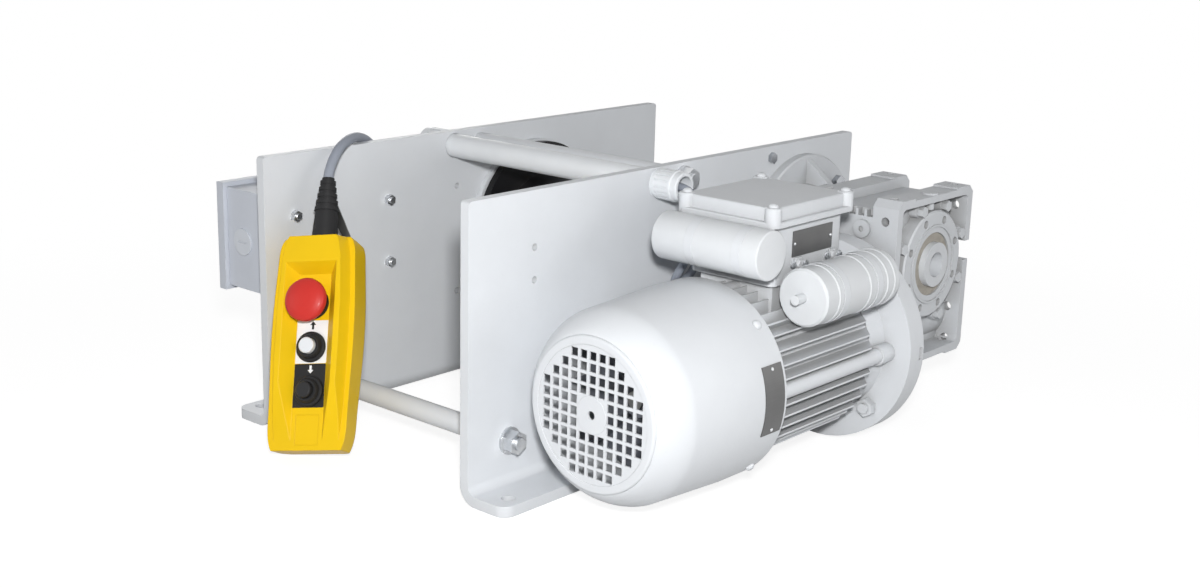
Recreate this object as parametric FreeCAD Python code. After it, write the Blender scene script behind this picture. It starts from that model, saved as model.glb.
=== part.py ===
"""Worm gear winch: two bent side plates, a drum between them, and a brake motor with a worm reducer.

Millimetres. +Z is up, -Y is the front with the fan cowl and the pendant, +X is the motor side.
The origin is the centre of the four foot holes, on the surface that the feet stand on.
"""
import FreeCAD
import Part
import math
import os

V = FreeCAD.Vector
X_AXIS = V(1, 0, 0)
Y_AXIS = V(0, 1, 0)
Z_AXIS = V(0, 0, 1)

# Clearances
FIT = 0.1               # same-body push fits, radial
RUN = 0.05              # running fits, radial
HOLE_SLACK = 0.5        # screw holes over their screws, radial

# Side plates
PLATE_GAP = 268.0
PLATE_T = 10.0
PLATE_H = 270.0
PLATE_L = 580.0
FOOT_W = 55.0           # from the plate's inner face
BEND_R = 8.0
PLATE_CORNER_R = 4.0
FOOT_CORNER_R = 12.0
FOOT_HOLE_D = 13.0
FOOT_HOLE_OUT = 40.0    # from the plate's inner face
FOOT_HOLE_END = 20.0    # from the plate's end
SIGHT_HOLE_D = 6.5
NEAR_SIGHT_HOLES = [(80.0, 219.0), (80.0, 189.5)]    # from the front edge, height
FAR_SIGHT_HOLES = [(251.0, 211.0), (251.0, 96.0)]

# Ties and spacers
TIE_D = 12.0
TIE_NUT_FLATS = 19.0
TIE_NUT_T = 10.0
TIE_WASHER_D = 25.0
TIE_WASHER_T = 2.5
TIE_END = 3.0           # thread past the nut
SPACER_SLACK = 0.6      # round the tie rod
SPACER_WALL = 3.4
SPACER_D = TIE_D + 2 * (SPACER_SLACK + SPACER_WALL)
LOWER_TIE_END = 50.0    # from the plate's end
LOWER_TIE_Z = 48.0
UPPER_TIE_FRONT = 285.0
TOP_INSET = 15.0        # upper tie and conduit below the plate's top edge

# Cable conduit
CONDUIT_D = 25.0
CONDUIT_WALL = 2.0
CONDUIT_FRONT = 247.5
CONDUIT_OUT = 12.0      # tube past each plate
FITTING_D = 30.0
FITTING_L = 32.0
FITTING_GROOVES = 16
FITTING_GROOVE = 0.8
MOTOR_CABLE_D = 8.0
CABLE_SAG = 1.5         # waver of the cable inside the conduit

# Hexagon bolts of the frame
BOLT_D = 10.0
BOLT_FLATS = 16.0
BOLT_HEAD_T = 6.4
BOLT_NUT_T = 8.0
EARTH_BOLT_D = 6.0
EARTH_BOLT_FLATS = 10.0
EARTH_BOLT_HEAD_T = 4.0
EARTH_BOLT_NUT_T = 5.0
EARTH_BOLT_FRONT = 430.0
EARTH_BOLT_DOWN = 12.0  # below the plate's top edge

# Open gear pair and drum
GEAR_MODULE = 4.0
PINION_TEETH = 20
DRUM_TEETH = 40
GEAR_BACKLASH = 0.6
GEAR_W = 24.0
PINION_EXTRA_W = 4.0
GEAR_BOSS_T = 12.0
GEAR_BOSS_D = 110.0
GEAR_TO_PLATE = 18.0
DRUM_Z = 156.0
DRUM_FLANGE_D = 184.0
DRUM_FLANGE_T = 8.0
BARREL_D = 114.0
BARREL_WALL = 7.0
ROPE_HOLE_D = 10.0
DRUM_GAP = 2.0          # drum flange to the ring on the far plate
RING_D = 188.0
RING_T = 6.0
RING_BORE_D = 84.0
AXLE_D = 30.0
AXLE_SHOULDER_D = 36.0
AXLE_TAP_DEPTH = 30.0
DRUM_BEARING_D = 62.0
DRUM_BEARING_W = 16.0
HUB_WALL = 9.0

# Worm reducer
OUTPUT_FRONT = 485.0
OUTPUT_Z = 166.0
WORM_CENTRES = 63.0
WORM_MODULE = 3.2
WHEEL_TEETH = 30
WORM_BACKLASH = 1.6
WORM_TURNS = 5
WHEEL_W = 24.0
FLANGE_REACH = 112.0    # plate's outer face to the worm's axis
HOUSING_W = 103.0
HUB_SPAN = 112.0
HOUSING_L = 144.0
HOUSING_ABOVE = 72.0
HOUSING_BELOW = 102.0
HOUSING_WALL = 9.0
HOUSING_CHAMFER = 7.0
POCKET_DEPTH = 24.0
POCKET_R = 6.0
PAD_L = 31.0            # machined pads at the ends of the rails
PAD_STEP = 2.0          # rails below their pads
NOTCH_UP = 14.0         # break in the rear rails, above the output axis
NOTCH_DOWN = 6.0
FRONT_RIBS = 4          # between the rails, on the front
FRONT_RIB_T = 3.0
FRONT_RIB_H = 18.5
FRONT_RIB_DEPTH = 8.0
EYE_BOSS_D = 17.0       # on the near rail, over the output axis
EYE_POST_D = 10.0
SEAT_D = 132.0
COVER_T = 14.0
GROOVE_W = 46.0
GROOVE_DEPTH = 12.0
WORM_TUBE_D = 72.0
CHAMBER_D = 106.0
CHAMBER_W = 38.0
WORM_CHAMBER_D = 40.0
PAD_HOLE_D = 9.0
PAD_HOLE_IN = 14.0
REAR_HOLES = (50.0, -58.0, -92.0)    # from the output axis
HUB_D = 45.0
HUB_SHOULDER_D = 54.0
SHAFT_D = 25.0
SHAFT_RECESS = 22.0
WHEEL_BEARING_D = 75.0
WHEEL_BEARING_W = 16.0
SEAL_D = 64.0
SEAL_T = 7.0
SEAT_RING_D = 80.0
SEAT_RING_W = 2.0
SEAT_RING_H = 1.5
COVER_D = 108.6
COVER_HOLE_IN = 8.3     # tapped holes, from the cover's edge
COVER_HOLE_PCD = COVER_D - 2 * COVER_HOLE_IN
COVER_HOLE_D = 8.0
COVER_EAR_R = 6.8
COVER_BOLT_OUT = 6.2    # bolts, from the cover's edge
COVER_BOLT_PCD = COVER_D + 2 * COVER_BOLT_OUT
COVER_BOLT_FLATS = 10.0
COVER_BOLT_HEAD_T = 6.0
COVER_BOLTS = 8
COVER_EAR_T = 9.0
INPUT_BEARING_D = 62.0
INPUT_BEARING_W = 14.0
INPUT_HUB_D = 35.0
REAR_BEARING_D = 52.0
REAR_BEARING_W = 15.0
END_CAP_T = 6.0
PLUG_D = 18.0
PLUG_T = 4.0

# Output flange of the reducer
FLANGE_D = 180.0
FLANGE_T = 10.0
SPIGOT_D = 115.0
SPIGOT_H = 7.0
FLANGE_PCD = 150.0
BELL_D = 122.0
BELL_END_D = 112.0
BELL_BORE_D = 92.0
RIB_T = 8.0
RIB_REACH = 40.0

# Motor
INPUT_PLANE = 102.0     # motor flange's mating face, ahead of the output axis
MOTOR_FLANGE_D = 200.0
MOTOR_FLANGE_T = 12.0
MOTOR_PCD = 165.0
MOTOR_SPIGOT_D = 130.0
MOTOR_SPIGOT_H = 3.5
MOTOR_SHAFT_D = 24.0
MOTOR_SHAFT_L = 50.0
ADAPTER_T = 12.0
ADAPTER_CONE_D = 128.0
ADAPTER_CONE_END_D = 104.0
ADAPTER_NOTCH = 12.0    # pry notch in the adapter's rim
FRAME_L = 174.0
FRAME_D = 132.0
FRAME_BORE_D = 124.0
SHIELD_L = 19.0
SHIELD_D = 144.0
FIN_PITCH = 12.0
FIN_EACH_WAY = 4        # fins each way from a tie bar
FIN_D = 160.0
FIN_T = 3.0
FIN_TAPER = 18.0
TIE_BAR_D = 15.0
TIE_BAR_R = 74.0
TIE_BOSS_D = 19.0
REAR_SHIELD_T = 12.0
LUG_W = 14.0
STATOR_L = 92.0
STATOR_BORE_D = 81.0
ROTOR_D = 80.0
WINDING_L = 24.0
MOTOR_BEARING_W = 15.0
MOTOR_BEARING_D = 52.0
MOTOR_BORE_D = 25.0
TAIL_BEARING_D = 47.0
TAIL_BEARING_W = 14.0
TAIL_D = 20.0
FAN_SEAT_D = 16.0
BRAKE_D = 104.0
BRAKE_T = 7.0
BRAKE_GAP = 3.0
MAGNET_D = 118.0
MAGNET_T = 27.0
STUD_D = 6.0
FAN_D = 152.0
FAN_W = 22.0
FAN_BLADES = 8
FAN_BLADE_T = 3.0
COWL_D = 181.6
COWL_WALL = 1.8
COWL_L = 151.0
COWL_OVERLAP = 5.0      # cowl's edge past the frame's end
COWL_FACE_D = 130.0
GRILLE_HOLE = 7.4
GRILLE_PITCH = 10.2
GRILLE_REACH = 5        # holes each way from the middle
GRILLE_CORNER = 7       # steps counted both ways, where the corners are cut
GRILLE_HUB = 1          # blank steps round the middle
GRILLE_HUB_D = 33.0
GRILLE_HUB_H = 0.5
GRILLE_EYE_D = 7.5
SCREW_HEAD_D = 9.0
SCREW_HEAD_T = 3.0
SCREW_D = 5.0
SCREW_L = 9.0

# Terminal box and capacitors
BOX_FRONT = 270.0       # box centre from the plates' front edge
BOX_L = 107.0
BOX_W = 92.0
BOX_FOOT_Z = 85.0       # box underside above the motor's axis
BOX_H = 55.0
BOX_WALL = 4.0
BOX_R = 6.0
LID_L = 120.0
LID_W = 100.0
LID_SKIRT_T = 5.0
LID_T = 17.0
LID_STEP = 5.0
POST_D = 15.0
POST_RISE = 1.0
CAP_GAP = 1.2
RUN_CAP_D = 44.6
RUN_CAP_L = 116.0
RUN_CAP_Z = 120.0       # above the motor's axis
START_CAP_D = 54.0
START_CAP_L = 119.0
START_CAP_Z = 80.0
START_CAP_FRONT = 223.0
CAP_STUB_D = 9.0
CAP_STUB_L = 12.0
CAP_BEAD = 0.8
BAND_T = 1.0
BAND_W = 9.0
GLAND_D = 18.0
GLAND_L = 20.0
GLAND_DEPTH = 15.0      # the cable's length inside the gland
GLAND_BACK = 23.5       # gland behind the terminal box's middle
RATING_T = 0.8
RATING_L = 62.0         # plate on the terminal box
RATING_H = 23.5
RATING_Z = 23.0         # above the box's underside
RATING_BACK = 5.0       # its middle behind the box's middle
COWL_PLATE_W = 27.0     # plate on the cowl
COWL_PLATE_FROM = -17.0
COWL_PLATE_TO = 22.0
COWL_PLATE_IN = 4.0     # from the cowl's open edge

# Control box on the far plate
CONTROL_FRONT = 20.0    # its front end from the plates' front edge
CONTROL_L = 151.0
CONTROL_H = 100.0
CONTROL_DEPTH = 77.0
CONTROL_Z = 127.0
CONTROL_WALL = 3.0
CONTROL_LID_T = 12.0
CONTROL_LID_PROUD = 4.5
CONTROL_BOLT_ENDS = 16.0
CONTROL_BOLT_D = 6.0
CONTROL_BOLT_FLATS = 10.0
CONTROL_BOLT_NUT_T = 5.0
CONTROL_BOLT_LOW = 17.0
CONTROL_BOLT_RISE = 65.0
BLANK_D = 27.0
BLANK_T = 1.6
BLANK_OUT = 52.0        # from the plate's outer face
BLANK_Z = 175.0
CORD_GLAND_OUT = 60.0
CORD_GLAND_FRONT = 150.0
CORD_GLAND_D = 22.0
CORD_GLAND_L = 26.0

# Pendant, in its own frame: x across, y into the front face, z up
PENDANT_IN = 107.0      # its foot from the far plate's inner face
PENDANT_AHEAD = 42.0    # its foot ahead of the plates' front edge
PENDANT_LIFT = 17.0
PENDANT_TURN = 23.5
PENDANT_LEAN = -25.8
PENDANT_ROLL = -8.0
PENDANT_H = 201.0
PENDANT_SECTIONS = [    # height, half width and depth as parts of the whole
    (0.0, 0.85, 0.85), (0.02, 0.89, 0.86), (0.15, 0.96, 0.90), (0.45, 1.0, 0.98), (0.7, 0.99, 1.0),
    (0.9, 0.94, 0.97), (0.98, 0.87, 0.94), (1.0, 0.80, 0.92)]
PENDANT_W = 83.0
PENDANT_D = 34.0
PENDANT_SPLIT = 26.0
PENDANT_BACK_R = 11.0
RAISE = 12.0            # height of the raised frame round the buttons
RAISE_LEDGE = 4.8       # ledge outside the frame
RAISE_SLOPE = 4.8       # run of the frame's outer slope
RAMP_TOP = 62.0         # below this height the frame runs out
RAMP_FOOT = 9.0
CHANNEL_FLOOR_W = 32.0
CHANNEL_SLOPE = 10.0
CHANNEL_TOP = 166.0     # upper end of the channel's floor
LABEL_SEAT_W = 23.0
LABEL_SEAT_FROM = 5.0
LABEL_SEAT_TO = 33.0
LABEL_SEAT_T = 0.5
TOP_DROP = 8.0          # fall of the top from front to back
BOOT_AT = 14.0          # the boot's axis behind the channel's floor
BOOT_D = 26.0
BOOT_END_D = 15.0
BOOT_L = 66.0
BOOT_SINK = 5.0
BOOT_RINGS = 5
HANGER_W = 7.0
HANGER_T = 2.0
HANGER_HALF = 20.0      # from the middle to each foot
HANGER_H = 42.0
HANGER_AT = 27.5        # behind the channel's floor
HANGER_SINK = 12.0
CORD_D = 10.0
ESTOP_Z = 138.0
BUTTON_PITCH = 41.5
ESTOP_HEAD_D = 41.0
ESTOP_HEAD_T = 14.0
ESTOP_COLLAR_D = 30.0
ESTOP_COLLAR_H = 6.0
ESTOP_STEM_D = 16.0
ESTOP_TRAVEL = 5.0
BEZEL_D = 29.0
BEZEL_H = 8.0
BUTTON_D = 15.0
BUTTON_TRAVEL = 4.0
BUTTON_PROUD = 13.0
TRAVEL_SPARE = 1.0
WELL_END = 16.0         # depth of the wells behind the channel's floor

# The pendant's cord, in stretches that hang on the pieces it passes
CORD_RISE = 21.0        # straight out of the boot
CORD_OVER_EDGE = [      # from the far plate's inner top edge, at its front end
    V(12.0, 87.0, 9.0), V(3.0, 113.0, 12.0), V(-9.0, 140.0, 9.0), V(-26.0, 164.0, -6.0),
    V(-43.0, 182.0, -33.0), V(-57.0, 193.0, -66.0)]
CORD_TO_COIL = [        # from the far plate's inner face, at its front end, on the floor
    V(-68.0, 205.0, 165.0), V(-76.0, 220.0, 122.0), V(-80.5, 237.0, 80.0), V(-82.0, 257.0, 44.5),
    V(-79.5, 281.0, 28.0), V(-76.0, 303.0, 24.6)]
CORD_TO_GLAND = [       # from the same corner, up to the gland under the control box
    V(-159.4, 255.6, 5.5), V(-134.0, 243.0, 5.5), V(-113.0, 230.0, 5.8), V(-95.0, 210.0, 10.5),
    V(-80.5, 186.0, 28.0), V(-72.0, 162.0, 52.0)]
CORD_GLAND_RUN = 24.0   # straight into the gland
COIL_OUT = 134.0        # coil's centre from the far plate's inner face
COIL_FRONT = 310.0
COIL_R = 60.0
COIL_LAYERS = 3
COIL_LIFT = 0.5

# Places that follow from the sizes above
HALF_GAP = PLATE_GAP / 2
OUTER = HALF_GAP + PLATE_T
FRONT = -PLATE_L / 2
TOP_LINE_Z = PLATE_H - TOP_INSET
OUTPUT_Y = FRONT + OUTPUT_FRONT
GEAR_CENTRES = GEAR_MODULE * (DRUM_TEETH + PINION_TEETH) / 2
DRUM_Y = OUTPUT_Y - math.sqrt(GEAR_CENTRES ** 2 - (OUTPUT_Z - DRUM_Z) ** 2)
MOTOR_X = OUTER + FLANGE_REACH
MOTOR_Z = OUTPUT_Z - WORM_CENTRES
MATE_Y = OUTPUT_Y - INPUT_PLANE
TIES = [(FRONT + LOWER_TIE_END, LOWER_TIE_Z), (-FRONT - LOWER_TIE_END, LOWER_TIE_Z),
        (FRONT + UPPER_TIE_FRONT, TOP_LINE_Z)]
CONDUIT_Y = FRONT + CONDUIT_FRONT
EARTH_BOLT = (FRONT + EARTH_BOLT_FRONT, PLATE_H - EARTH_BOLT_DOWN)
CONTROL_Y = FRONT + CONTROL_FRONT
CONTROL_BOLTS = [(CONTROL_Y + along, CONTROL_Z + CONTROL_BOLT_LOW + up)
                 for along in (CONTROL_BOLT_ENDS, CONTROL_L - CONTROL_BOLT_ENDS)
                 for up in (0, CONTROL_BOLT_RISE)]


# Shapes that the pieces are made from

def rod(diameter, start, end):
    return Part.makeCylinder(diameter / 2, (end - start).Length, start, end - start)


def tube(outer, inner, start, end):
    return rod(outer, start, end).cut(rod(inner, start, end))


def block(low, high):
    size = high - low
    return Part.makeBox(size.x, size.y, size.z, low)


def side_of(axis):
    """A direction square to the axis, from which angles are counted."""
    return Z_AXIS if abs(axis.z) < 0.5 else X_AXIS


def turned(profile, origin, axis):
    """A solid of revolution; the profile holds (distance along the axis, radius) pairs."""
    side = side_of(axis)
    points = [origin + axis * along + side * radius for along, radius in profile]
    return Part.Face(Part.makePolygon(points + points[:1])).revolve(origin, axis, 360)


def prism(points, depth):
    return Part.Face(Part.makePolygon(points + points[:1])).extrude(depth)


def hexagon(flats, start, end):
    axis = (end - start).normalize()
    side = side_of(axis)
    across = axis.cross(side)
    radius = flats / math.sqrt(3)
    corners = [math.radians(60 * k) for k in range(6)]
    points = [start + side * radius * math.cos(a) + across * radius * math.sin(a) for a in corners]
    return prism(points, end - start)


def fused(shapes):
    return shapes[0].multiFuse(shapes[1:]).removeSplitter()


def without(shape, tools):
    return shape.cut(Part.makeCompound(tools))


def turned_copies(shape, count, origin, axis, first=0.0):
    copies = []
    for k in range(count):
        copy = shape.copy()
        copy.rotate(origin, axis, first + 360.0 * k / count)
        copies.append(copy)
    return copies


def circle_places(diameter, count, first):
    """Points on a circle as pairs, with the first at an angle in degrees."""
    angles = [math.radians(first + 360.0 * k / count) for k in range(count)]
    return [(diameter / 2 * math.cos(a), diameter / 2 * math.sin(a)) for a in angles]


def rounded_block(low, high, radius):
    """A block with its upright edges rounded."""
    body = block(low, high)
    upright = [e for e in body.Edges if abs(e.tangentAt(e.FirstParameter).z) > 0.9]
    return body.makeFillet(radius, upright)


def tooth_outline(teeth, module, backlash, phase, addendum=1.0, dedendum=1.25):
    """Points of a gear's outline as (first, second) pairs; a tooth is centred on the phase angle."""
    pressure = math.radians(20)
    pitch_r = module * teeth / 2
    base_r = pitch_r * math.cos(pressure)
    half_pitch_angle = math.pi / (2 * teeth) - backlash / (2 * pitch_r)
    radii = [pitch_r - dedendum * module, pitch_r - 0.4 * module, pitch_r + 0.3 * module,
             pitch_r + addendum * module]

    def involute(radius):
        angle = math.acos(min(1.0, base_r / radius))
        return math.tan(angle) - angle

    halves = [half_pitch_angle + involute(pitch_r) - involute(max(r, base_r)) for r in radii]
    points = []
    for k in range(teeth):
        centre = phase + 2 * math.pi * k / teeth
        flank = [(r, centre - h) for r, h in zip(radii, halves)]
        flank += [(r, centre + h) for r, h in reversed(list(zip(radii, halves)))]
        points += [(r * math.cos(a), r * math.sin(a)) for r, a in flank]
    return points


def swept(points, diameter):
    """A round cable along straight runs joined by tangent arcs, with the radii of its bends."""
    edges = []
    radii = []
    start = points[0]
    for before, corner, after in zip(points, points[1:], points[2:]):
        back = before - corner
        ahead = after - corner
        shorter = min(back.Length, ahead.Length)
        turn = math.pi - back.getAngle(ahead)
        reach = 0.45 * shorter
        radii.append(reach / math.tan(turn / 2))
        back.normalize()
        ahead.normalize()
        first = corner + back * reach
        last = corner + ahead * reach
        inward = (back + ahead).normalize()
        to_centre = radii[-1] / math.cos(turn / 2)
        middle = corner + inward * (to_centre - radii[-1])
        edges.append(Part.LineSegment(start, first).toShape())
        edges.append(Part.Arc(first, middle, last).toShape())
        start = last
    edges.append(Part.LineSegment(start, points[-1]).toShape())
    path = Part.Wire(edges)
    circle = Part.Wire(Part.makeCircle(diameter / 2, points[0], points[1] - points[0]))
    return path.makePipeShell([circle], True, False), radii, path.Length


# Side plates, ties and conduit

def bare_plate():
    """The near side plate: an upright sheet with its foot bent outwards."""
    bend = PLATE_T + BEND_R
    outer_x = HALF_GAP + FOOT_W
    half = math.sqrt(0.5)
    centre = V(HALF_GAP + bend, FRONT, bend)

    def arc(radius, from_point, to_point):
        middle = centre - V(radius * half, 0, radius * half)
        return Part.Arc(from_point, middle, to_point).toShape()

    corners = [V(OUTER, FRONT, bend), V(OUTER, FRONT, PLATE_H), V(HALF_GAP, FRONT, PLATE_H),
               V(HALF_GAP, FRONT, bend)]
    foot = [V(HALF_GAP + bend, FRONT, 0), V(outer_x, FRONT, 0), V(outer_x, FRONT, PLATE_T),
            V(HALF_GAP + bend, FRONT, PLATE_T)]
    edges = [Part.LineSegment(a, b).toShape() for a, b in zip(corners, corners[1:])]
    edges.append(arc(bend, corners[-1], foot[0]))
    edges += [Part.LineSegment(a, b).toShape() for a, b in zip(foot, foot[1:])]
    edges.append(arc(BEND_R, foot[-1], corners[0]))
    plate = Part.Face(Part.Wire(edges)).extrude(V(0, PLATE_L, 0))

    def ends(edge, direction, spot):
        along = abs(edge.tangentAt(edge.FirstParameter).dot(direction)) > 0.99
        return along and spot(edge.CenterOfMass) and abs(abs(edge.CenterOfMass.y) + FRONT) < 0.01

    top = [e for e in plate.Edges if ends(e, X_AXIS, lambda c: abs(c.z - PLATE_H) < 0.01)]
    plate = plate.makeFillet(PLATE_CORNER_R, top)
    tip = [e for e in plate.Edges if ends(e, Z_AXIS, lambda c: abs(c.x - outer_x) < 0.01)]
    plate = plate.makeFillet(FOOT_CORNER_R, tip)
    foot_x = HALF_GAP + FOOT_HOLE_OUT
    foot_y = -FRONT - FOOT_HOLE_END
    holes = [rod(FOOT_HOLE_D, V(foot_x, y, -1), V(foot_x, y, PLATE_T + 1)) for y in (-foot_y, foot_y)]
    through = [(TIE_D + 2 * HOLE_SLACK, y, z) for y, z in TIES]
    through.append((CONDUIT_D + 2 * HOLE_SLACK, CONDUIT_Y, TOP_LINE_Z))
    through.append((BOLT_D + 2 * HOLE_SLACK, DRUM_Y, DRUM_Z))
    return without(plate, holes + plate_holes(through))


def plate_holes(places):
    """Drills through the near plate, at (diameter, y, z) places."""
    return [rod(d, V(HALF_GAP - 1, y, z), V(OUTER + 1, y, z)) for d, y, z in places]


def mirrored(shape):
    return shape.mirror(V(0, 0, 0), X_AXIS)


def near_side_plate():
    holes = [(SIGHT_HOLE_D, FRONT + along, z) for along, z in NEAR_SIGHT_HOLES]
    holes.append((SPIGOT_D + 2 * FIT, OUTPUT_Y, OUTPUT_Z))
    bolt_d = BOLT_D + 2 * HOLE_SLACK
    holes += [(bolt_d, OUTPUT_Y + y, OUTPUT_Z + z) for y, z in circle_places(FLANGE_PCD, 4, 45)]
    holes.append((EARTH_BOLT_D + 2 * HOLE_SLACK, *EARTH_BOLT))
    return without(bare_plate(), plate_holes(holes))


def far_side_plate():
    holes = [(SIGHT_HOLE_D, FRONT + along, z) for along, z in FAR_SIGHT_HOLES]
    holes += [(CONTROL_BOLT_D + 2 * HOLE_SLACK, y, z) for y, z in CONTROL_BOLTS]
    return mirrored(without(bare_plate(), plate_holes(holes)))


def spacer(y, z):
    return tube(SPACER_D, SPACER_D - 2 * SPACER_WALL, V(-HALF_GAP, y, z), V(HALF_GAP, y, z))


def tie_rods():
    reach = OUTER + TIE_WASHER_T + TIE_NUT_T + TIE_END
    return [rod(TIE_D, V(-reach, y, z), V(reach, y, z)) for y, z in TIES]


def tie_rings(make):
    """One washer or nut at each end of every tie."""
    near = [make(y, z) for y, z in TIES]
    return near + [mirrored(shape) for shape in near]


def tie_washer(y, z):
    return tube(TIE_WASHER_D, TIE_D + 2 * RUN, V(OUTER, y, z), V(OUTER + TIE_WASHER_T, y, z))


def tie_nut(y, z):
    start = V(OUTER + TIE_WASHER_T, y, z)
    end = start + X_AXIS * TIE_NUT_T
    return hexagon(TIE_NUT_FLATS, start, end).cut(rod(TIE_D + 2 * RUN, start, end))


def conduit_tube():
    reach = OUTER + CONDUIT_OUT
    start = V(-reach, CONDUIT_Y, TOP_LINE_Z)
    return tube(CONDUIT_D, CONDUIT_D - 2 * CONDUIT_WALL, start, V(reach, CONDUIT_Y, TOP_LINE_Z))


def conduit_fitting():
    """A plastic end fitting: a socket on the tube, a knurled grip and an open mouth."""
    origin = V(OUTER, CONDUIT_Y, TOP_LINE_Z)
    socket_r = CONDUIT_D / 2 + FIT
    mouth_r = CONDUIT_D / 2 - CONDUIT_WALL
    grip_r = FITTING_D / 2
    profile = [(0, socket_r), (0, grip_r - 1.2), (3, grip_r - 1.2), (4, grip_r), (24, grip_r),
               (25, grip_r - 1.0), (FITTING_L - 1, grip_r - 1.0), (FITTING_L, grip_r - 2.0),
               (FITTING_L, mouth_r), (CONDUIT_OUT, mouth_r), (CONDUIT_OUT, socket_r)]
    groove = block(V(OUTER + 6, CONDUIT_Y - 0.9, TOP_LINE_Z + grip_r - FITTING_GROOVE),
                   V(OUTER + 22, CONDUIT_Y + 0.9, TOP_LINE_Z + grip_r + 1))
    return without(turned(profile, origin, X_AXIS), turned_copies(groove, FITTING_GROOVES, origin, X_AXIS))


def motor_cable():
    """The motor's lead: out of the control box, through the conduit and round to the terminal box."""
    leave = V(-OUTER - CONTROL_DEPTH / 2, CONTROL_Y + CONTROL_L, CONTROL_Z + CONTROL_H / 2)
    far = V(-OUTER, CONDUIT_Y, TOP_LINE_Z)
    near = V(OUTER, CONDUIT_Y, TOP_LINE_Z)
    enter = V(MOTOR_X - BOX_W / 2 - GLAND_L + GLAND_DEPTH, BOX_Y + GLAND_BACK, BOX_Z + BOX_H / 2)
    to_conduit = [leave, leave + V(0, 34, 0), leave + V(-7.5, 59, 19), far + V(-53, -7.5, -41),
                  far + V(-49, -2.5, -21), far + V(-37, 0, -6), far + V(-19, 0, 0), far + V(4, 0, 0)]
    waver = (-CABLE_SAG, CABLE_SAG / 3, -CABLE_SAG, CABLE_SAG / 3, -CABLE_SAG)
    step = 2 * OUTER / (len(waver) + 1)
    inside = [far + V(step * (k + 1), 0, rise) for k, rise in enumerate(waver)]
    to_box = [near + V(6, 0, 0), near + V(40, 0, 0), near + V(59, -3.5, -25), near + V(52, -15.5, -59),
              near + V(32, -11.5, -87), enter + V(-45, -34, -61), enter + V(-49, -2, -53),
              enter + V(-47, 8, -27), enter + V(-29, 0, 0), enter]
    return swept(to_conduit + inside + to_box, MOTOR_CABLE_D)


# Hexagon bolts

def bolt(head, through, flats=BOLT_FLATS, diameter=BOLT_D, head_t=BOLT_HEAD_T):
    """A hexagon bolt from its head's seat to the end of its shank."""
    axis = (through - head).normalize()
    return fused([hexagon(flats, head - axis * head_t, head), rod(diameter, head, through)])


def nut(seat, axis, flats=BOLT_FLATS, diameter=BOLT_D, height=BOLT_NUT_T):
    end = seat + axis * height
    return hexagon(flats, seat, end).cut(rod(diameter + 2 * FIT, seat, end))


def frame_bolts():
    """The reducer's flange bolts and the earth bolt with their nuts, and the two axle bolts."""
    pieces = []
    seats = [(OUTER + FLANGE_T, OUTPUT_Y + y, OUTPUT_Z + z) for y, z in circle_places(FLANGE_PCD, 4, 45)]
    inner_end = HALF_GAP - BOLT_NUT_T - TIE_END
    for x, y, z in seats:
        pieces.append(bolt(V(x, y, z), V(inner_end, y, z)))
        pieces.append(nut(V(HALF_GAP, y, z), -X_AXIS))
    earth = V(0, *EARTH_BOLT)
    earth_end = X_AXIS * (HALF_GAP - EARTH_BOLT_NUT_T - TIE_END)
    pieces.append(bolt(earth + X_AXIS * OUTER, earth + earth_end, EARTH_BOLT_FLATS, EARTH_BOLT_D,
                       EARTH_BOLT_HEAD_T))
    pieces.append(nut(earth + X_AXIS * HALF_GAP, -X_AXIS, EARTH_BOLT_FLATS, EARTH_BOLT_D, EARTH_BOLT_NUT_T))
    tip = HALF_GAP - AXLE_TAP_DEPTH + 2
    near = bolt(V(OUTER, DRUM_Y, DRUM_Z), V(tip, DRUM_Y, DRUM_Z))
    return pieces + [near, mirrored(near)]


# Drum, its axle and the open gears

FAR_FLANGE_X = -HALF_GAP + RING_T + DRUM_GAP
NEAR_FLANGE_X = HALF_GAP - GEAR_TO_PLATE - GEAR_W - GEAR_BOSS_T - DRUM_FLANGE_T
GEAR_X = NEAR_FLANGE_X + DRUM_FLANGE_T + GEAR_BOSS_T
HUB_INSET = 2.0
FAR_BEARING_X = FAR_FLANGE_X + HUB_INSET
NEAR_BEARING_X = NEAR_FLANGE_X + DRUM_FLANGE_T - HUB_INSET - DRUM_BEARING_W
GEAR_LINE = math.atan2(OUTPUT_Z - DRUM_Z, OUTPUT_Y - DRUM_Y)


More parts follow.
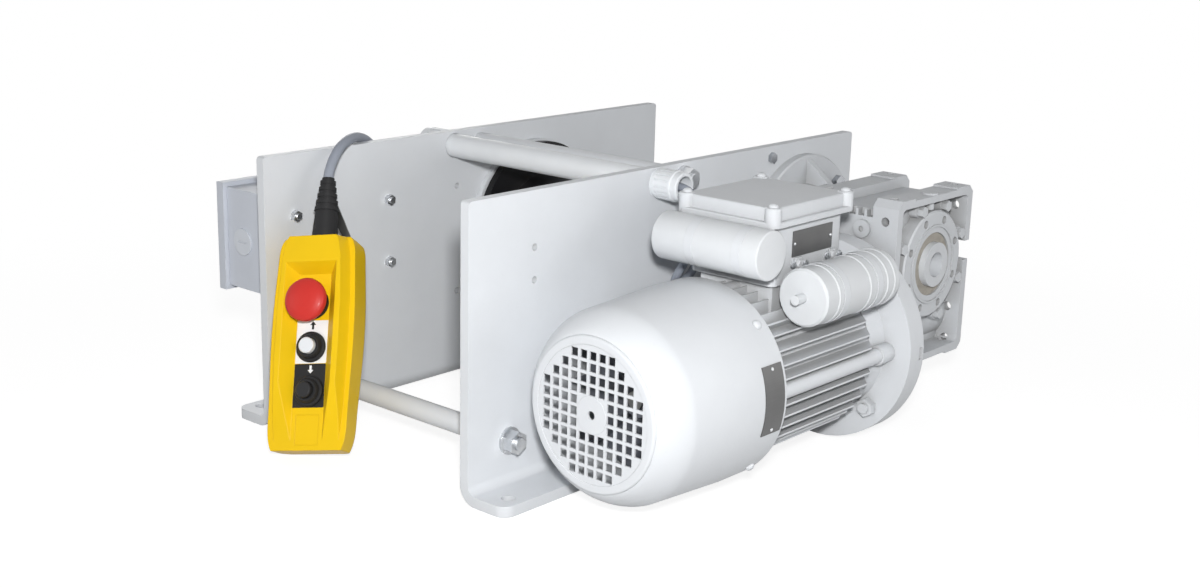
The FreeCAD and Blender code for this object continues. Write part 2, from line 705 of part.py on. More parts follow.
def drum():
    """The welded drum: a barrel between two flanges, with a bearing hub in each end."""
    origin = V(0, DRUM_Y, DRUM_Z)
    seat_r = DRUM_BEARING_D / 2 + FIT
    hub_r = DRUM_BEARING_D / 2 + HUB_WALL
    lip_r = DRUM_BEARING_D / 2 - 3
    flange_r = DRUM_FLANGE_D / 2
    barrel_r = BARREL_D / 2
    inner_r = barrel_r - BARREL_WALL
    far_hub = FAR_BEARING_X + DRUM_BEARING_W
    near_end = NEAR_FLANGE_X + DRUM_FLANGE_T
    profile = [(FAR_FLANGE_X, lip_r), (FAR_FLANGE_X, flange_r), (FAR_FLANGE_X + DRUM_FLANGE_T, flange_r),
               (FAR_FLANGE_X + DRUM_FLANGE_T, barrel_r), (NEAR_FLANGE_X, barrel_r), (NEAR_FLANGE_X, flange_r),
               (near_end, flange_r), (near_end, lip_r), (near_end - HUB_INSET, lip_r),
               (near_end - HUB_INSET, seat_r), (NEAR_BEARING_X, seat_r), (NEAR_BEARING_X, hub_r),
               (NEAR_FLANGE_X, hub_r), (NEAR_FLANGE_X, inner_r), (FAR_FLANGE_X + DRUM_FLANGE_T, inner_r),
               (FAR_FLANGE_X + DRUM_FLANGE_T, hub_r), (far_hub, hub_r), (far_hub, seat_r),
               (FAR_BEARING_X, seat_r), (FAR_BEARING_X, lip_r)]
    rope_x = FAR_FLANGE_X + DRUM_FLANGE_T + ROPE_HOLE_D
    hole = rod(ROPE_HOLE_D, V(rope_x, DRUM_Y, DRUM_Z + inner_r - 2), V(rope_x, DRUM_Y, DRUM_Z + barrel_r + 2))
    return turned(profile, origin, X_AXIS).cut(hole)


def drum_bearings():
    starts = (FAR_BEARING_X, NEAR_BEARING_X)
    return [bearing(DRUM_BEARING_D, AXLE_D, V(x, DRUM_Y, DRUM_Z), X_AXIS * DRUM_BEARING_W) for x in starts]


def bearing(outside, shaft, start, width):
    """A bearing as a plain ring, with running clearance on its shaft."""
    return tube(outside, shaft + 2 * RUN, start, start + width)


def drum_axle():
    """The fixed axle, clamped between the plates, with a shoulder for the bearings."""
    end_r = AXLE_D / 2
    shoulder_r = AXLE_SHOULDER_D / 2
    far_step = FAR_BEARING_X + DRUM_BEARING_W
    profile = [(-HALF_GAP, 0), (-HALF_GAP, end_r), (far_step, end_r), (far_step, shoulder_r),
               (NEAR_BEARING_X, shoulder_r), (NEAR_BEARING_X, end_r), (HALF_GAP, end_r), (HALF_GAP, 0)]
    body = turned(profile, V(0, DRUM_Y, DRUM_Z), X_AXIS)
    taps = [rod(BOLT_D + 2 * FIT, V(side * HALF_GAP, DRUM_Y, DRUM_Z),
                V(side * (HALF_GAP - AXLE_TAP_DEPTH), DRUM_Y, DRUM_Z)) for side in (-1, 1)]
    return without(body, taps)


def drum_ring():
    return tube(RING_D, RING_BORE_D, V(-HALF_GAP, DRUM_Y, DRUM_Z), V(-HALF_GAP + RING_T, DRUM_Y, DRUM_Z))


def toothed(outline, start, width):
    points = [start + V(0, y, z) for y, z in outline]
    return prism(points, V(width, 0, 0))


def drum_gear():
    phase = GEAR_LINE + math.pi / DRUM_TEETH
    outline = tooth_outline(DRUM_TEETH, GEAR_MODULE, GEAR_BACKLASH / 2, phase)
    start = V(GEAR_X, DRUM_Y, DRUM_Z)
    rim = toothed(outline, start, GEAR_W)
    boss = rod(GEAR_BOSS_D, start - X_AXIS * GEAR_BOSS_T, start)
    bore = rod(AXLE_SHOULDER_D + 8, start - X_AXIS * (GEAR_BOSS_T + 1), start + X_AXIS * (GEAR_W + 1))
    return fused([rim, boss]).cut(bore)


def pinion_shaft():
    """The output shaft with the pinion cut on its inner end, keyed into the hollow wheel."""
    outline = tooth_outline(PINION_TEETH, GEAR_MODULE, GEAR_BACKLASH / 2, GEAR_LINE + math.pi)
    start = V(GEAR_X - PINION_EXTRA_W / 2, OUTPUT_Y, OUTPUT_Z)
    width = GEAR_W + PINION_EXTRA_W
    end = V(MOTOR_X + HUB_SPAN / 2 - SHAFT_RECESS, OUTPUT_Y, OUTPUT_Z)
    return fused([toothed(outline, start, width), rod(SHAFT_D, start + X_AXIS * width, end)])


# Worm reducer

HOUSING_X0 = MOTOR_X - HOUSING_W / 2
HOUSING_X1 = MOTOR_X + HOUSING_W / 2
HOUSING_Y0 = OUTPUT_Y - HOUSING_L / 2
HOUSING_Y1 = OUTPUT_Y + HOUSING_L / 2
HOUSING_Z0 = OUTPUT_Z - HOUSING_BELOW
HOUSING_Z1 = OUTPUT_Z + HOUSING_ABOVE
COVER_X = HOUSING_X1 - COVER_T
SEAL_BORE_T = 10.0
NEAR_SEAT_X = HOUSING_X1 - SEAL_BORE_T - WHEEL_BEARING_W
FAR_SEAT_X = HOUSING_X0 + SEAL_BORE_T
INPUT_SEAT_Y = HOUSING_Y0 + 4.0
REAR_SEAT_Y = HOUSING_Y1 - END_CAP_T - REAR_BEARING_W


def output_at(x):
    return V(x, OUTPUT_Y, OUTPUT_Z)


def worm_at(y):
    return V(MOTOR_X, y, MOTOR_Z)


def pad_holes():
    """Holes through the pads, for feet on the top, the bottom and the rear, and two in the front."""
    drills = []
    deep = HOUSING_WALL + 1
    front_z = HOUSING_Z1 - PAD_HOLE_IN - 7
    for x in (HOUSING_X0 + PAD_HOLE_IN, HOUSING_X1 - PAD_HOLE_IN):
        for y in (HOUSING_Y0 + PAD_HOLE_IN, HOUSING_Y1 - PAD_HOLE_IN):
            drills.append(rod(PAD_HOLE_D, V(x, y, HOUSING_Z1 + 1), V(x, y, HOUSING_Z1 - deep)))
            drills.append(rod(PAD_HOLE_D, V(x, y, HOUSING_Z0 - 1), V(x, y, HOUSING_Z0 + deep)))
        for up in REAR_HOLES:
            z = OUTPUT_Z + up
            drills.append(rod(PAD_HOLE_D, V(x, HOUSING_Y1 + 1, z), V(x, HOUSING_Y1 - deep, z)))
        drills.append(rod(PAD_HOLE_D, V(x, HOUSING_Y0 - 1, front_z), V(x, HOUSING_Y0 + deep, front_z)))
    return drills


def housing_recesses():
    """What is cut from the housing's block: side pockets, grooves, low rails, rear breaks and front slots."""
    low = V(HOUSING_X0, HOUSING_Y0, HOUSING_Z0)
    high = V(HOUSING_X1, HOUSING_Y1, HOUSING_Z1)
    wall = V(0, HOUSING_WALL, HOUSING_WALL)
    near = block(V(HOUSING_X1 - POCKET_DEPTH, low.y, low.z) + wall, high + X_AXIS - wall)
    far = block(low - X_AXIS + wall, V(HOUSING_X0 + POCKET_DEPTH, high.y, high.z) - wall)
    cuts = []
    for pocket in (near, far):
        along = [e for e in pocket.Edges if abs(e.tangentAt(e.FirstParameter).x) > 0.9]
        cuts.append(pocket.makeFillet(POCKET_R, along))
    left = MOTOR_X - GROOVE_W / 2
    right = MOTOR_X + GROOVE_W / 2
    cuts.append(block(V(left, low.y - 1, high.z - GROOVE_DEPTH), V(right, high.y + 1, high.z + 1)))
    cuts.append(block(V(left, low.y - 1, low.z - 1), V(right, high.y + 1, low.z + GROOVE_DEPTH)))
    cuts.append(block(V(left, high.y - GROOVE_DEPTH, low.z - 1), V(right, high.y + 1, high.z + 1)))
    for z0, z1 in ((high.z - PAD_STEP, high.z + 1), (low.z - 1, low.z + PAD_STEP)):
        cuts.append(block(V(low.x - 1, low.y + PAD_L, z0), V(high.x + 1, high.y - PAD_L, z1)))
    for x in (low.x - 1, high.x - POCKET_DEPTH):
        cuts.append(block(V(x, high.y - HOUSING_WALL - 1, OUTPUT_Z - NOTCH_DOWN),
                          V(x + POCKET_DEPTH + 1, high.y + 1, OUTPUT_Z + NOTCH_UP)))
    slot = (GROOVE_W - FRONT_RIBS * FRONT_RIB_T) / (FRONT_RIBS + 1)
    for k in range(FRONT_RIBS + 1):
        x = left + k * (slot + FRONT_RIB_T)
        deep = low.y + FRONT_RIB_DEPTH
        cuts.append(block(V(x, low.y - 1, high.z - FRONT_RIB_H), V(x + slot, deep, high.z)))
    return cuts


def eye_boss():
    """A round boss on the near rail over the output axis, with a short post under it."""
    place = V(HOUSING_X1 - EYE_BOSS_D / 2, OUTPUT_Y, 0)
    rail_z = HOUSING_Z1 - HOUSING_WALL
    boss = rod(EYE_BOSS_D, place + Z_AXIS * rail_z, place + Z_AXIS * HOUSING_Z1)
    post_z = OUTPUT_Z + COVER_D / 2 + HOLE_SLACK
    post = rod(EYE_POST_D, place + Z_AXIS * post_z, place + Z_AXIS * (rail_z + 1))
    return [boss, post]


def gearbox_housing():
    """The cast housing: railed frame, side pockets round the wheel's seat, and a tube for the worm."""
    low = V(HOUSING_X0, HOUSING_Y0, HOUSING_Z0)
    high = V(HOUSING_X1, HOUSING_Y1, HOUSING_Z1)
    body = block(low, high)
    along = [e for e in body.Edges if abs(e.tangentAt(e.FirstParameter).x) > 0.9]
    body = without(body.makeChamfer(HOUSING_CHAMFER, along), housing_recesses())
    inside = V(0, 0, GROOVE_DEPTH)
    envelope = block(low + inside, high - inside)
    seat = rod(SEAT_D, output_at(HOUSING_X0), output_at(COVER_X)).common(envelope)
    worm_tube = rod(WORM_TUBE_D, worm_at(HOUSING_Y0), worm_at(HOUSING_Y1))
    body = fused([body, seat, worm_tube] + eye_boss())
    bearing_d = WHEEL_BEARING_D + 2 * FIT
    chamber_x = MOTOR_X - CHAMBER_W / 2
    cavities = [rod(CHAMBER_D, output_at(chamber_x), output_at(COVER_X + 1)),
                rod(bearing_d, output_at(FAR_SEAT_X), output_at(chamber_x + 1)),
                rod(SEAL_D + 2 * FIT, output_at(HOUSING_X0 - 1), output_at(FAR_SEAT_X + 1)),
                rod(WORM_CHAMBER_D, worm_at(INPUT_SEAT_Y), worm_at(REAR_SEAT_Y + 1)),
                rod(INPUT_BEARING_D + 2 * FIT, worm_at(HOUSING_Y0 - 1),
                    worm_at(INPUT_SEAT_Y + INPUT_BEARING_W)),
                rod(REAR_BEARING_D + 2 * FIT, worm_at(REAR_SEAT_Y), worm_at(HOUSING_Y1 + 1))]
    cavities.append(rod(COVER_D + 2 * FIT, output_at(COVER_X), output_at(HOUSING_X1 + 1)))
    for y, z in circle_places(COVER_BOLT_PCD, COVER_BOLTS, 22.5):
        ear = output_at(COVER_X) + V(0, y, z)
        cavities.append(rod(COVER_BOLT_FLATS * 0.6 + 2 * FIT, ear - X_AXIS * 13, ear + X_AXIS))
        cavities.append(rod(2 * (COVER_EAR_R + FIT), ear, output_at(HOUSING_X1 + 1) + V(0, y, z)))
    return without(body, cavities + pad_holes())


def gearbox_cover():
    """The side cover: a stepped disc with eight lugs, eight tapped holes and a raised seat ring."""
    ear_end = COVER_X + COVER_EAR_T
    plug_x = NEAR_SEAT_X - 2
    seat_r = WHEEL_BEARING_D / 2 + FIT
    seal_r = SEAL_D / 2 + FIT
    ring_r = SEAT_RING_D / 2
    plug_r = CHAMBER_D / 2 - FIT
    profile = [(plug_x, seat_r), (plug_x, plug_r), (COVER_X, plug_r), (COVER_X, COVER_D / 2),
               (HOUSING_X1 - 1.5, COVER_D / 2), (HOUSING_X1, COVER_D / 2 - 1.5), (HOUSING_X1, ring_r),
               (HOUSING_X1 + SEAT_RING_H, ring_r), (HOUSING_X1 + SEAT_RING_H, ring_r - SEAT_RING_W),
               (HOUSING_X1, ring_r - SEAT_RING_W), (HOUSING_X1, seal_r), (HOUSING_X1 - SEAL_BORE_T, seal_r),
               (HOUSING_X1 - SEAL_BORE_T, seat_r)]
    body = turned(profile, V(0, OUTPUT_Y, OUTPUT_Z), X_AXIS)
    ears = []
    holes = []
    for (y, z), (hole_y, hole_z) in zip(circle_places(COVER_BOLT_PCD, COVER_BOLTS, 22.5),
                                        circle_places(COVER_HOLE_PCD, COVER_BOLTS, 22.5)):
        ears.append(rod(2 * COVER_EAR_R, output_at(COVER_X) + V(0, y, z), output_at(ear_end) + V(0, y, z)))
        holes.append(rod(COVER_BOLT_FLATS * 0.6 + 2 * FIT, output_at(COVER_X - 1) + V(0, y, z),
                         output_at(ear_end + 1) + V(0, y, z)))
        holes.append(rod(COVER_HOLE_D, output_at(COVER_X + 2) + V(0, hole_y, hole_z),
                         output_at(HOUSING_X1 + 1) + V(0, hole_y, hole_z)))
    chamber = rod(CHAMBER_D - 2 * FIT, output_at(COVER_X), output_at(HOUSING_X1))
    ears = [ear.cut(chamber) for ear in ears]
    return without(fused([body] + ears), holes)


def gearbox_cover_bolts():
    seat_x = COVER_X + COVER_EAR_T
    return [bolt(output_at(seat_x) + V(0, y, z), output_at(COVER_X - 12) + V(0, y, z), COVER_BOLT_FLATS,
                 COVER_BOLT_FLATS * 0.6, COVER_BOLT_HEAD_T)
            for y, z in circle_places(COVER_BOLT_PCD, COVER_BOLTS, 22.5)]


def gearbox_seals():
    """The two lip seals round the wheel's hub, each in its bore."""
    bore = HUB_D + 4 * RUN
    far = tube(SEAL_D, bore, output_at(HOUSING_X0 + 2), output_at(HOUSING_X0 + 2 + SEAL_T))
    near = tube(SEAL_D, bore, output_at(HOUSING_X1 - 2 - SEAL_T), output_at(HOUSING_X1 - 2))
    return [far, near]


def gearbox_bearings():
    """The wheel's two bearings and the worm's two bearings."""
    wheel = [bearing(WHEEL_BEARING_D, HUB_D, output_at(x), X_AXIS * WHEEL_BEARING_W)
             for x in (FAR_SEAT_X, NEAR_SEAT_X)]
    front = bearing(INPUT_BEARING_D, INPUT_HUB_D, worm_at(INPUT_SEAT_Y), Y_AXIS * INPUT_BEARING_W)
    rear = bearing(REAR_BEARING_D, SHAFT_D, worm_at(REAR_SEAT_Y), Y_AXIS * REAR_BEARING_W)
    return wheel + [front, rear]


def gearbox_plugs():
    """The worm's end cap and the oil plugs in the front and the rear of the housing."""
    cap = rod(REAR_BEARING_D, worm_at(HOUSING_Y1 - END_CAP_T), worm_at(HOUSING_Y1))
    plugs = []
    plug_z = HOUSING_Z1 - 31
    front_seat = V(MOTOR_X + 13, HOUSING_Y0, plug_z)
    rear_seat = V(MOTOR_X, HOUSING_Y1 - GROOVE_DEPTH, plug_z)
    for seat, out in ((front_seat, -Y_AXIS), (rear_seat, Y_AXIS)):
        head = rod(PLUG_D, seat, seat + out * PLUG_T)
        socket = hexagon(PLUG_D * 0.3, seat + out * (PLUG_T - 2.5), seat + out * (PLUG_T + 1))
        plugs.append(head.cut(socket))
    return [cap] + plugs


def worm_wheel():
    """The bronze wheel on its hollow hub; each tooth follows the worm's lead."""
    lead_slope = WORM_MODULE / (2 * WORM_CENTRES - WORM_MODULE * WHEEL_TEETH)
    twist = lead_slope * WHEEL_W / 2 / (WORM_MODULE * WHEEL_TEETH / 2)
    sections = []
    for side in (-1, 1):
        phase = -math.pi / 2 + side * twist
        outline = tooth_outline(WHEEL_TEETH, WORM_MODULE, WORM_BACKLASH / 2, phase, 0.95)
        points = [output_at(MOTOR_X + side * WHEEL_W / 2) + V(0, y, z) for y, z in outline]
        sections.append(Part.makePolygon(points + points[:1]))
    rim = Part.makeLoft(sections, True, True)
    half = HUB_SPAN / 2
    hub = rod(HUB_D, output_at(MOTOR_X - half), output_at(MOTOR_X + half))
    shoulder = rod(HUB_SHOULDER_D, output_at(FAR_SEAT_X + WHEEL_BEARING_W), output_at(NEAR_SEAT_X))
    bore = rod(SHAFT_D + 2 * FIT, output_at(MOTOR_X - half - 1), output_at(MOTOR_X + half + 1))
    return fused([rim, shoulder, hub]).cut(bore)


def worm():
    """The single-start worm on its shaft, with the bore for the motor's shaft in its front end."""
    pitch = math.pi * WORM_MODULE
    pitch_r = WORM_CENTRES - WORM_MODULE * WHEEL_TEETH / 2
    root_r = pitch_r - 1.25 * WORM_MODULE
    tip_r = pitch_r + 0.95 * WORM_MODULE
    slope = math.tan(math.radians(20))
    half = pitch / 4 - WORM_BACKLASH / 4
    foot_r = root_r - 0.5
    length = pitch * WORM_TURNS
    foot = half + slope * (pitch_r - foot_r)
    tip = half - slope * (tip_r - pitch_r)
    section = [V(foot_r, 0, -foot), V(tip_r, 0, -tip), V(tip_r, 0, tip), V(foot_r, 0, foot)]
    helix = Part.makeHelix(pitch, length, pitch_r)
    thread = helix.makePipeShell([Part.makePolygon(section + section[:1])], True, True)
    thread.translate(V(0, 0, -length / 2))
    thread.rotate(V(0, 0, 0), V(1, 1, 1), 240)
    thread.translate(worm_at(OUTPUT_Y))
    reach = length / 2 + pitch / 2
    seat_r = INPUT_HUB_D / 2
    bore_r = MOTOR_SHAFT_D / 2 + FIT
    bore_end = MATE_Y + MOTOR_SHAFT_L + 2
    front = MATE_Y + MOTOR_SPIGOT_H + 5
    neck = bore_end + 3
    rear_r = SHAFT_D / 2
    tail = REAR_SEAT_Y + REAR_BEARING_W - 1
    profile = [(front, bore_r), (front, seat_r), (neck, seat_r), (neck + 6, root_r),
               (OUTPUT_Y + reach, root_r), (OUTPUT_Y + reach + 4, rear_r), (tail, rear_r), (tail, 0),
               (bore_end, 0), (bore_end, bore_r)]
    shaft = turned(profile, worm_at(0), Y_AXIS)
    return fused([shaft, thread])


def output_flange():
    """The bell between the side plate and the reducer, with four ribs and a spigot in the plate."""
    reach = FLANGE_REACH - HOUSING_W / 2
    bore_r = BELL_BORE_D / 2
    end_bore_r = SEAL_D / 2 + 6
    profile = [(-SPIGOT_H, bore_r), (-SPIGOT_H, SPIGOT_D / 2), (0, SPIGOT_D / 2), (0, FLANGE_D / 2),
               (FLANGE_T - 1.5, FLANGE_D / 2), (FLANGE_T, FLANGE_D / 2 - 1.5), (FLANGE_T, BELL_D / 2),
               (reach, BELL_END_D / 2), (reach, end_bore_r), (FLANGE_T + 8, bore_r)]
    origin = V(OUTER, OUTPUT_Y, OUTPUT_Z)
    body = turned(profile, origin, X_AXIS)
    inner = (BELL_D / 2 + BELL_END_D / 2) / 2 - 5
    rib_points = [origin + V(FLANGE_T, -RIB_T / 2, inner), origin + V(FLANGE_T, -RIB_T / 2, FLANGE_D / 2 - 4),
                  origin + V(FLANGE_T + RIB_REACH, -RIB_T / 2, inner)]
    rib = prism(rib_points, V(0, RIB_T, 0))
    ribs = turned_copies(rib, 4, origin, X_AXIS)
    core = rod(BELL_END_D - 8, origin, origin + X_AXIS * reach)
    ribs = [r.cut(core) for r in ribs]
    holes = [rod(BOLT_D + 2 * HOLE_SLACK, origin + V(-1, y, z), origin + V(FLANGE_T + 1, y, z))
             for y, z in circle_places(FLANGE_PCD, 4, 45)]
    return without(fused([body] + ribs), holes)


# Motor

FRAME_Y1 = MATE_Y - MOTOR_FLANGE_T - SHIELD_L
FRAME_Y0 = FRAME_Y1 - FRAME_L
TAIL_Y = FRAME_Y0 - REAR_SHIELD_T
BRAKE_Y = TAIL_Y - BRAKE_GAP - BRAKE_T
MAGNET_Y = BRAKE_Y - BRAKE_GAP - MAGNET_T
FAN_Y = MAGNET_Y - 13 - FAN_W
COWL_Y1 = FRAME_Y0 + COWL_OVERLAP
COWL_Y0 = COWL_Y1 - COWL_L
DRIVE_BEARING_Y = MATE_Y - MOTOR_FLANGE_T - MOTOR_BEARING_W - 2
TAIL_BEARING_Y = TAIL_Y + 2
STATOR_Y = FRAME_Y0 + (FRAME_L - STATOR_L) / 2 + 4
LUG_Y = TAIL_Y - 3


def input_flange():
    """The reducer's adapter: a flange for the motor on a short cone."""
    bore_r = INPUT_BEARING_D / 2 + 8
    cone_y = HOUSING_Y0
    profile = [(MATE_Y + MOTOR_SPIGOT_H, bore_r), (MATE_Y + MOTOR_SPIGOT_H, MOTOR_SPIGOT_D / 2 + FIT),
               (MATE_Y, MOTOR_SPIGOT_D / 2 + FIT), (MATE_Y, MOTOR_FLANGE_D / 2),
               (MATE_Y + ADAPTER_T, MOTOR_FLANGE_D / 2), (MATE_Y + ADAPTER_T, ADAPTER_CONE_D / 2),
               (cone_y, ADAPTER_CONE_END_D / 2), (cone_y, bore_r)]
    body = turned(profile, worm_at(0), Y_AXIS)
    rim = MOTOR_X + MOTOR_FLANGE_D / 2
    notch = block(V(rim - 2.5, MATE_Y + 4, MOTOR_Z - ADAPTER_NOTCH / 2),
                  V(rim + 1, MATE_Y + ADAPTER_T - 2, MOTOR_Z + ADAPTER_NOTCH / 2))
    return without(body, [notch] + motor_bolt_holes(MATE_Y - 1, MATE_Y + ADAPTER_T + 1))


def motor_bolt_holes(start, end):
    return [rod(BOLT_D + 2 * HOLE_SLACK, worm_at(start) + V(x, 0, z), worm_at(end) + V(x, 0, z))
            for x, z in circle_places(MOTOR_PCD, 4, 45)]


def motor_flange_bolts():
    """Four bolts from behind the adapter, with their nuts on the motor's flange."""
    nut_y = MATE_Y - MOTOR_FLANGE_T
    head_y = MATE_Y + ADAPTER_T
    end_y = nut_y - BOLT_NUT_T - TIE_END
    pieces = []
    for x, z in circle_places(MOTOR_PCD, 4, 45):
        place = V(x, 0, z)
        pieces.append(bolt(worm_at(head_y) + place, worm_at(end_y) + place))
        pieces.append(nut(worm_at(nut_y) + place, -Y_AXIS))
    return pieces


def fin(offset):
    """One upright fin on top of the frame, at a distance from the motor's axis."""
    half = FIN_T / 2
    root = math.sqrt((FRAME_D / 2) ** 2 - (abs(offset) + half) ** 2) - 1
    tip = math.sqrt((FIN_D / 2) ** 2 - offset ** 2)
    points = [V(offset - half, 0, root), V(offset - half * 0.6, 0, tip), V(offset + half * 0.6, 0, tip),
              V(offset + half, 0, root)]
    return prism([worm_at(FRAME_Y0) + p for p in points], Y_AXIS * FRAME_L)


def motor_frame():
    """The frame: parallel fins on four sides, bars for the tie bolts, and a pad for the terminal box."""
    root_r = FRAME_D / 2
    tip_r = FIN_D / 2
    start = worm_at(FRAME_Y0)
    fins = turned_copies(fin(0), 8, worm_at(0), Y_AXIS)
    for k in range(1, FIN_EACH_WAY + 1):
        fins += turned_copies(fin(k * FIN_PITCH), 4, worm_at(0), Y_AXIS, 0)
        fins += turned_copies(fin(-k * FIN_PITCH), 4, worm_at(0), Y_AXIS, 0)
    body = fused([rod(FRAME_D, start, worm_at(FRAME_Y1))] + fins)
    taper = [(FRAME_Y1 - FIN_TAPER, tip_r + 1), (FRAME_Y1 + 1, tip_r + 1), (FRAME_Y1 + 1, root_r)]
    body = body.cut(turned(taper, worm_at(0), Y_AXIS))
    bars = [rod(TIE_BAR_D, start + V(x, 0, z), worm_at(FRAME_Y1) + V(x, 0, z))
            for x, z in circle_places(2 * TIE_BAR_R, 4, 0)]
    pad_y = FRONT + BOX_FRONT
    pad = block(V(MOTOR_X - BOX_W / 2 + 6, pad_y - BOX_L / 2 + 9, MOTOR_Z + root_r * 0.8),
                V(MOTOR_X + BOX_W / 2 - 6, pad_y + BOX_L / 2 - 9, MOTOR_Z + BOX_FOOT_Z))
    bore = rod(FRAME_BORE_D, worm_at(FRAME_Y0 - 1), worm_at(FRAME_Y1 + 1))
    return fused([body] + bars + [pad]).cut(bore)


def drive_end_shield():
    """The flanged shield at the drive end, with its bearing seat, spigot and tie-bolt bosses."""
    end_y = MATE_Y - MOTOR_FLANGE_T
    seat_r = MOTOR_BEARING_D / 2 + FIT
    inner_r = MOTOR_BEARING_D / 2 + 18
    shaft_r = MOTOR_BORE_D / 2 + 2
    bearing_end = DRIVE_BEARING_Y + MOTOR_BEARING_W
    profile = [(FRAME_Y1, inner_r), (FRAME_Y1, FRAME_D / 2 + 1), (FRAME_Y1 + 10, SHIELD_D / 2 - 3),
               (end_y, SHIELD_D / 2), (end_y, MOTOR_FLANGE_D / 2), (MATE_Y, MOTOR_FLANGE_D / 2),
               (MATE_Y, MOTOR_SPIGOT_D / 2), (MATE_Y + MOTOR_SPIGOT_H, MOTOR_SPIGOT_D / 2),
               (MATE_Y + MOTOR_SPIGOT_H, inner_r), (bearing_end + 5, inner_r), (bearing_end + 5, shaft_r),
               (bearing_end, shaft_r), (bearing_end, seat_r), (DRIVE_BEARING_Y, seat_r),
               (DRIVE_BEARING_Y, inner_r)]
    body = turned(profile, worm_at(0), Y_AXIS)
    bosses = [rod(TIE_BOSS_D, worm_at(FRAME_Y1) + V(x, 0, z), worm_at(MATE_Y - 1) + V(x, 0, z))
              for x, z in circle_places(2 * TIE_BAR_R, 4, 0)]
    return without(fused([body] + bosses), motor_bolt_holes(FRAME_Y1, MATE_Y + 1))


def rear_end_shield():
    """The rear shield, with its bearing seat and four lugs that carry the cowl."""
    seat_r = TAIL_BEARING_D / 2 + FIT
    shaft_r = TAIL_D / 2 + 1
    hub_end = TAIL_BEARING_Y + TAIL_BEARING_W
    profile = [(TAIL_Y, shaft_r), (TAIL_Y, FRAME_D / 2 + 4), (FRAME_Y0, FRAME_D / 2 + 4),
               (FRAME_Y0, FRAME_BORE_D / 2 - FIT), (FRAME_Y0 + 5, FRAME_BORE_D / 2 - FIT),
               (FRAME_Y0 + 5, FRAME_BORE_D / 2 - 6), (FRAME_Y0, FRAME_BORE_D / 2 - 6), (FRAME_Y0, seat_r + 6),
               (hub_end, seat_r + 6), (hub_end, seat_r), (TAIL_BEARING_Y, seat_r), (TAIL_BEARING_Y, shaft_r)]
    body = turned(profile, worm_at(0), Y_AXIS)
    inside = rod(COWL_D - 2 * COWL_WALL - 2 * FIT, worm_at(LUG_Y - 1), worm_at(FRAME_Y0 + 1))
    lug = block(V(MOTOR_X + FRAME_D / 2, LUG_Y, MOTOR_Z - LUG_W / 2),
                V(MOTOR_X + COWL_D / 2, FRAME_Y0, MOTOR_Z + LUG_W / 2))
    lugs = [piece.common(inside) for piece in turned_copies(lug, 4, worm_at(0), Y_AXIS, 45)]
    screw_y = (LUG_Y + FRAME_Y0) / 2
    drill = rod(SCREW_D + 2 * FIT, V(MOTOR_X + COWL_D / 2 - SCREW_L - 1, screw_y, MOTOR_Z),
                V(MOTOR_X + COWL_D / 2 + 1, screw_y, MOTOR_Z))
    return without(fused([body] + lugs), turned_copies(drill, 4, worm_at(0), Y_AXIS, 45))


def stator():
    bore = STATOR_BORE_D
    outside = FRAME_BORE_D - 2 * FIT
    core = tube(outside, bore, worm_at(STATOR_Y), worm_at(STATOR_Y + STATOR_L))
    ends = [tube(outside - 10, bore + 7, worm_at(y), worm_at(y + WINDING_L))
            for y in (STATOR_Y - WINDING_L, STATOR_Y + STATOR_L)]
    return fused([core] + ends)


def rotor():
    """The rotor core on its shaft, from the fan's seat to the drive end."""
    tail = FAN_Y - 3
    fan_step = FAN_Y + FAN_W + 2
    core_end = STATOR_Y + STATOR_L
    drive_step = MATE_Y + MOTOR_SPIGOT_H
    body_r = MOTOR_BORE_D / 2 + 3
    profile = [(tail, 0), (tail, FAN_SEAT_D / 2), (fan_step, FAN_SEAT_D / 2), (fan_step, TAIL_D / 2),
               (TAIL_BEARING_Y + TAIL_BEARING_W, TAIL_D / 2), (TAIL_BEARING_Y + TAIL_BEARING_W, body_r),
               (STATOR_Y, body_r), (STATOR_Y, ROTOR_D / 2), (core_end, ROTOR_D / 2), (core_end, body_r),
               (DRIVE_BEARING_Y, body_r), (DRIVE_BEARING_Y, MOTOR_BORE_D / 2), (drive_step, MOTOR_BORE_D / 2),
               (drive_step, MOTOR_SHAFT_D / 2), (MATE_Y + MOTOR_SHAFT_L, MOTOR_SHAFT_D / 2),
               (MATE_Y + MOTOR_SHAFT_L, 0)]
    return turned(profile, worm_at(0), Y_AXIS)


def motor_bearings():
    drive = bearing(MOTOR_BEARING_D, MOTOR_BORE_D, worm_at(DRIVE_BEARING_Y), Y_AXIS * MOTOR_BEARING_W)
    tail = bearing(TAIL_BEARING_D, TAIL_D, worm_at(TAIL_BEARING_Y), Y_AXIS * TAIL_BEARING_W)
    return [drive, tail]


def brake_disc():
    return tube(BRAKE_D, TAIL_D + 2 * FIT, worm_at(BRAKE_Y), worm_at(BRAKE_Y + BRAKE_T))


def brake_magnet():
    """The brake's magnet, on three studs that stand on the rear shield."""
    body = tube(MAGNET_D, TAIL_D + 8, worm_at(MAGNET_Y), worm_at(MAGNET_Y + MAGNET_T))
    stud_pcd = (MAGNET_D + BRAKE_D) / 2
    studs = [rod(STUD_D, worm_at(MAGNET_Y + MAGNET_T) + V(x, 0, z), worm_at(TAIL_Y) + V(x, 0, z))
             for x, z in circle_places(stud_pcd, 3, 90)]
    return fused([body] + studs)


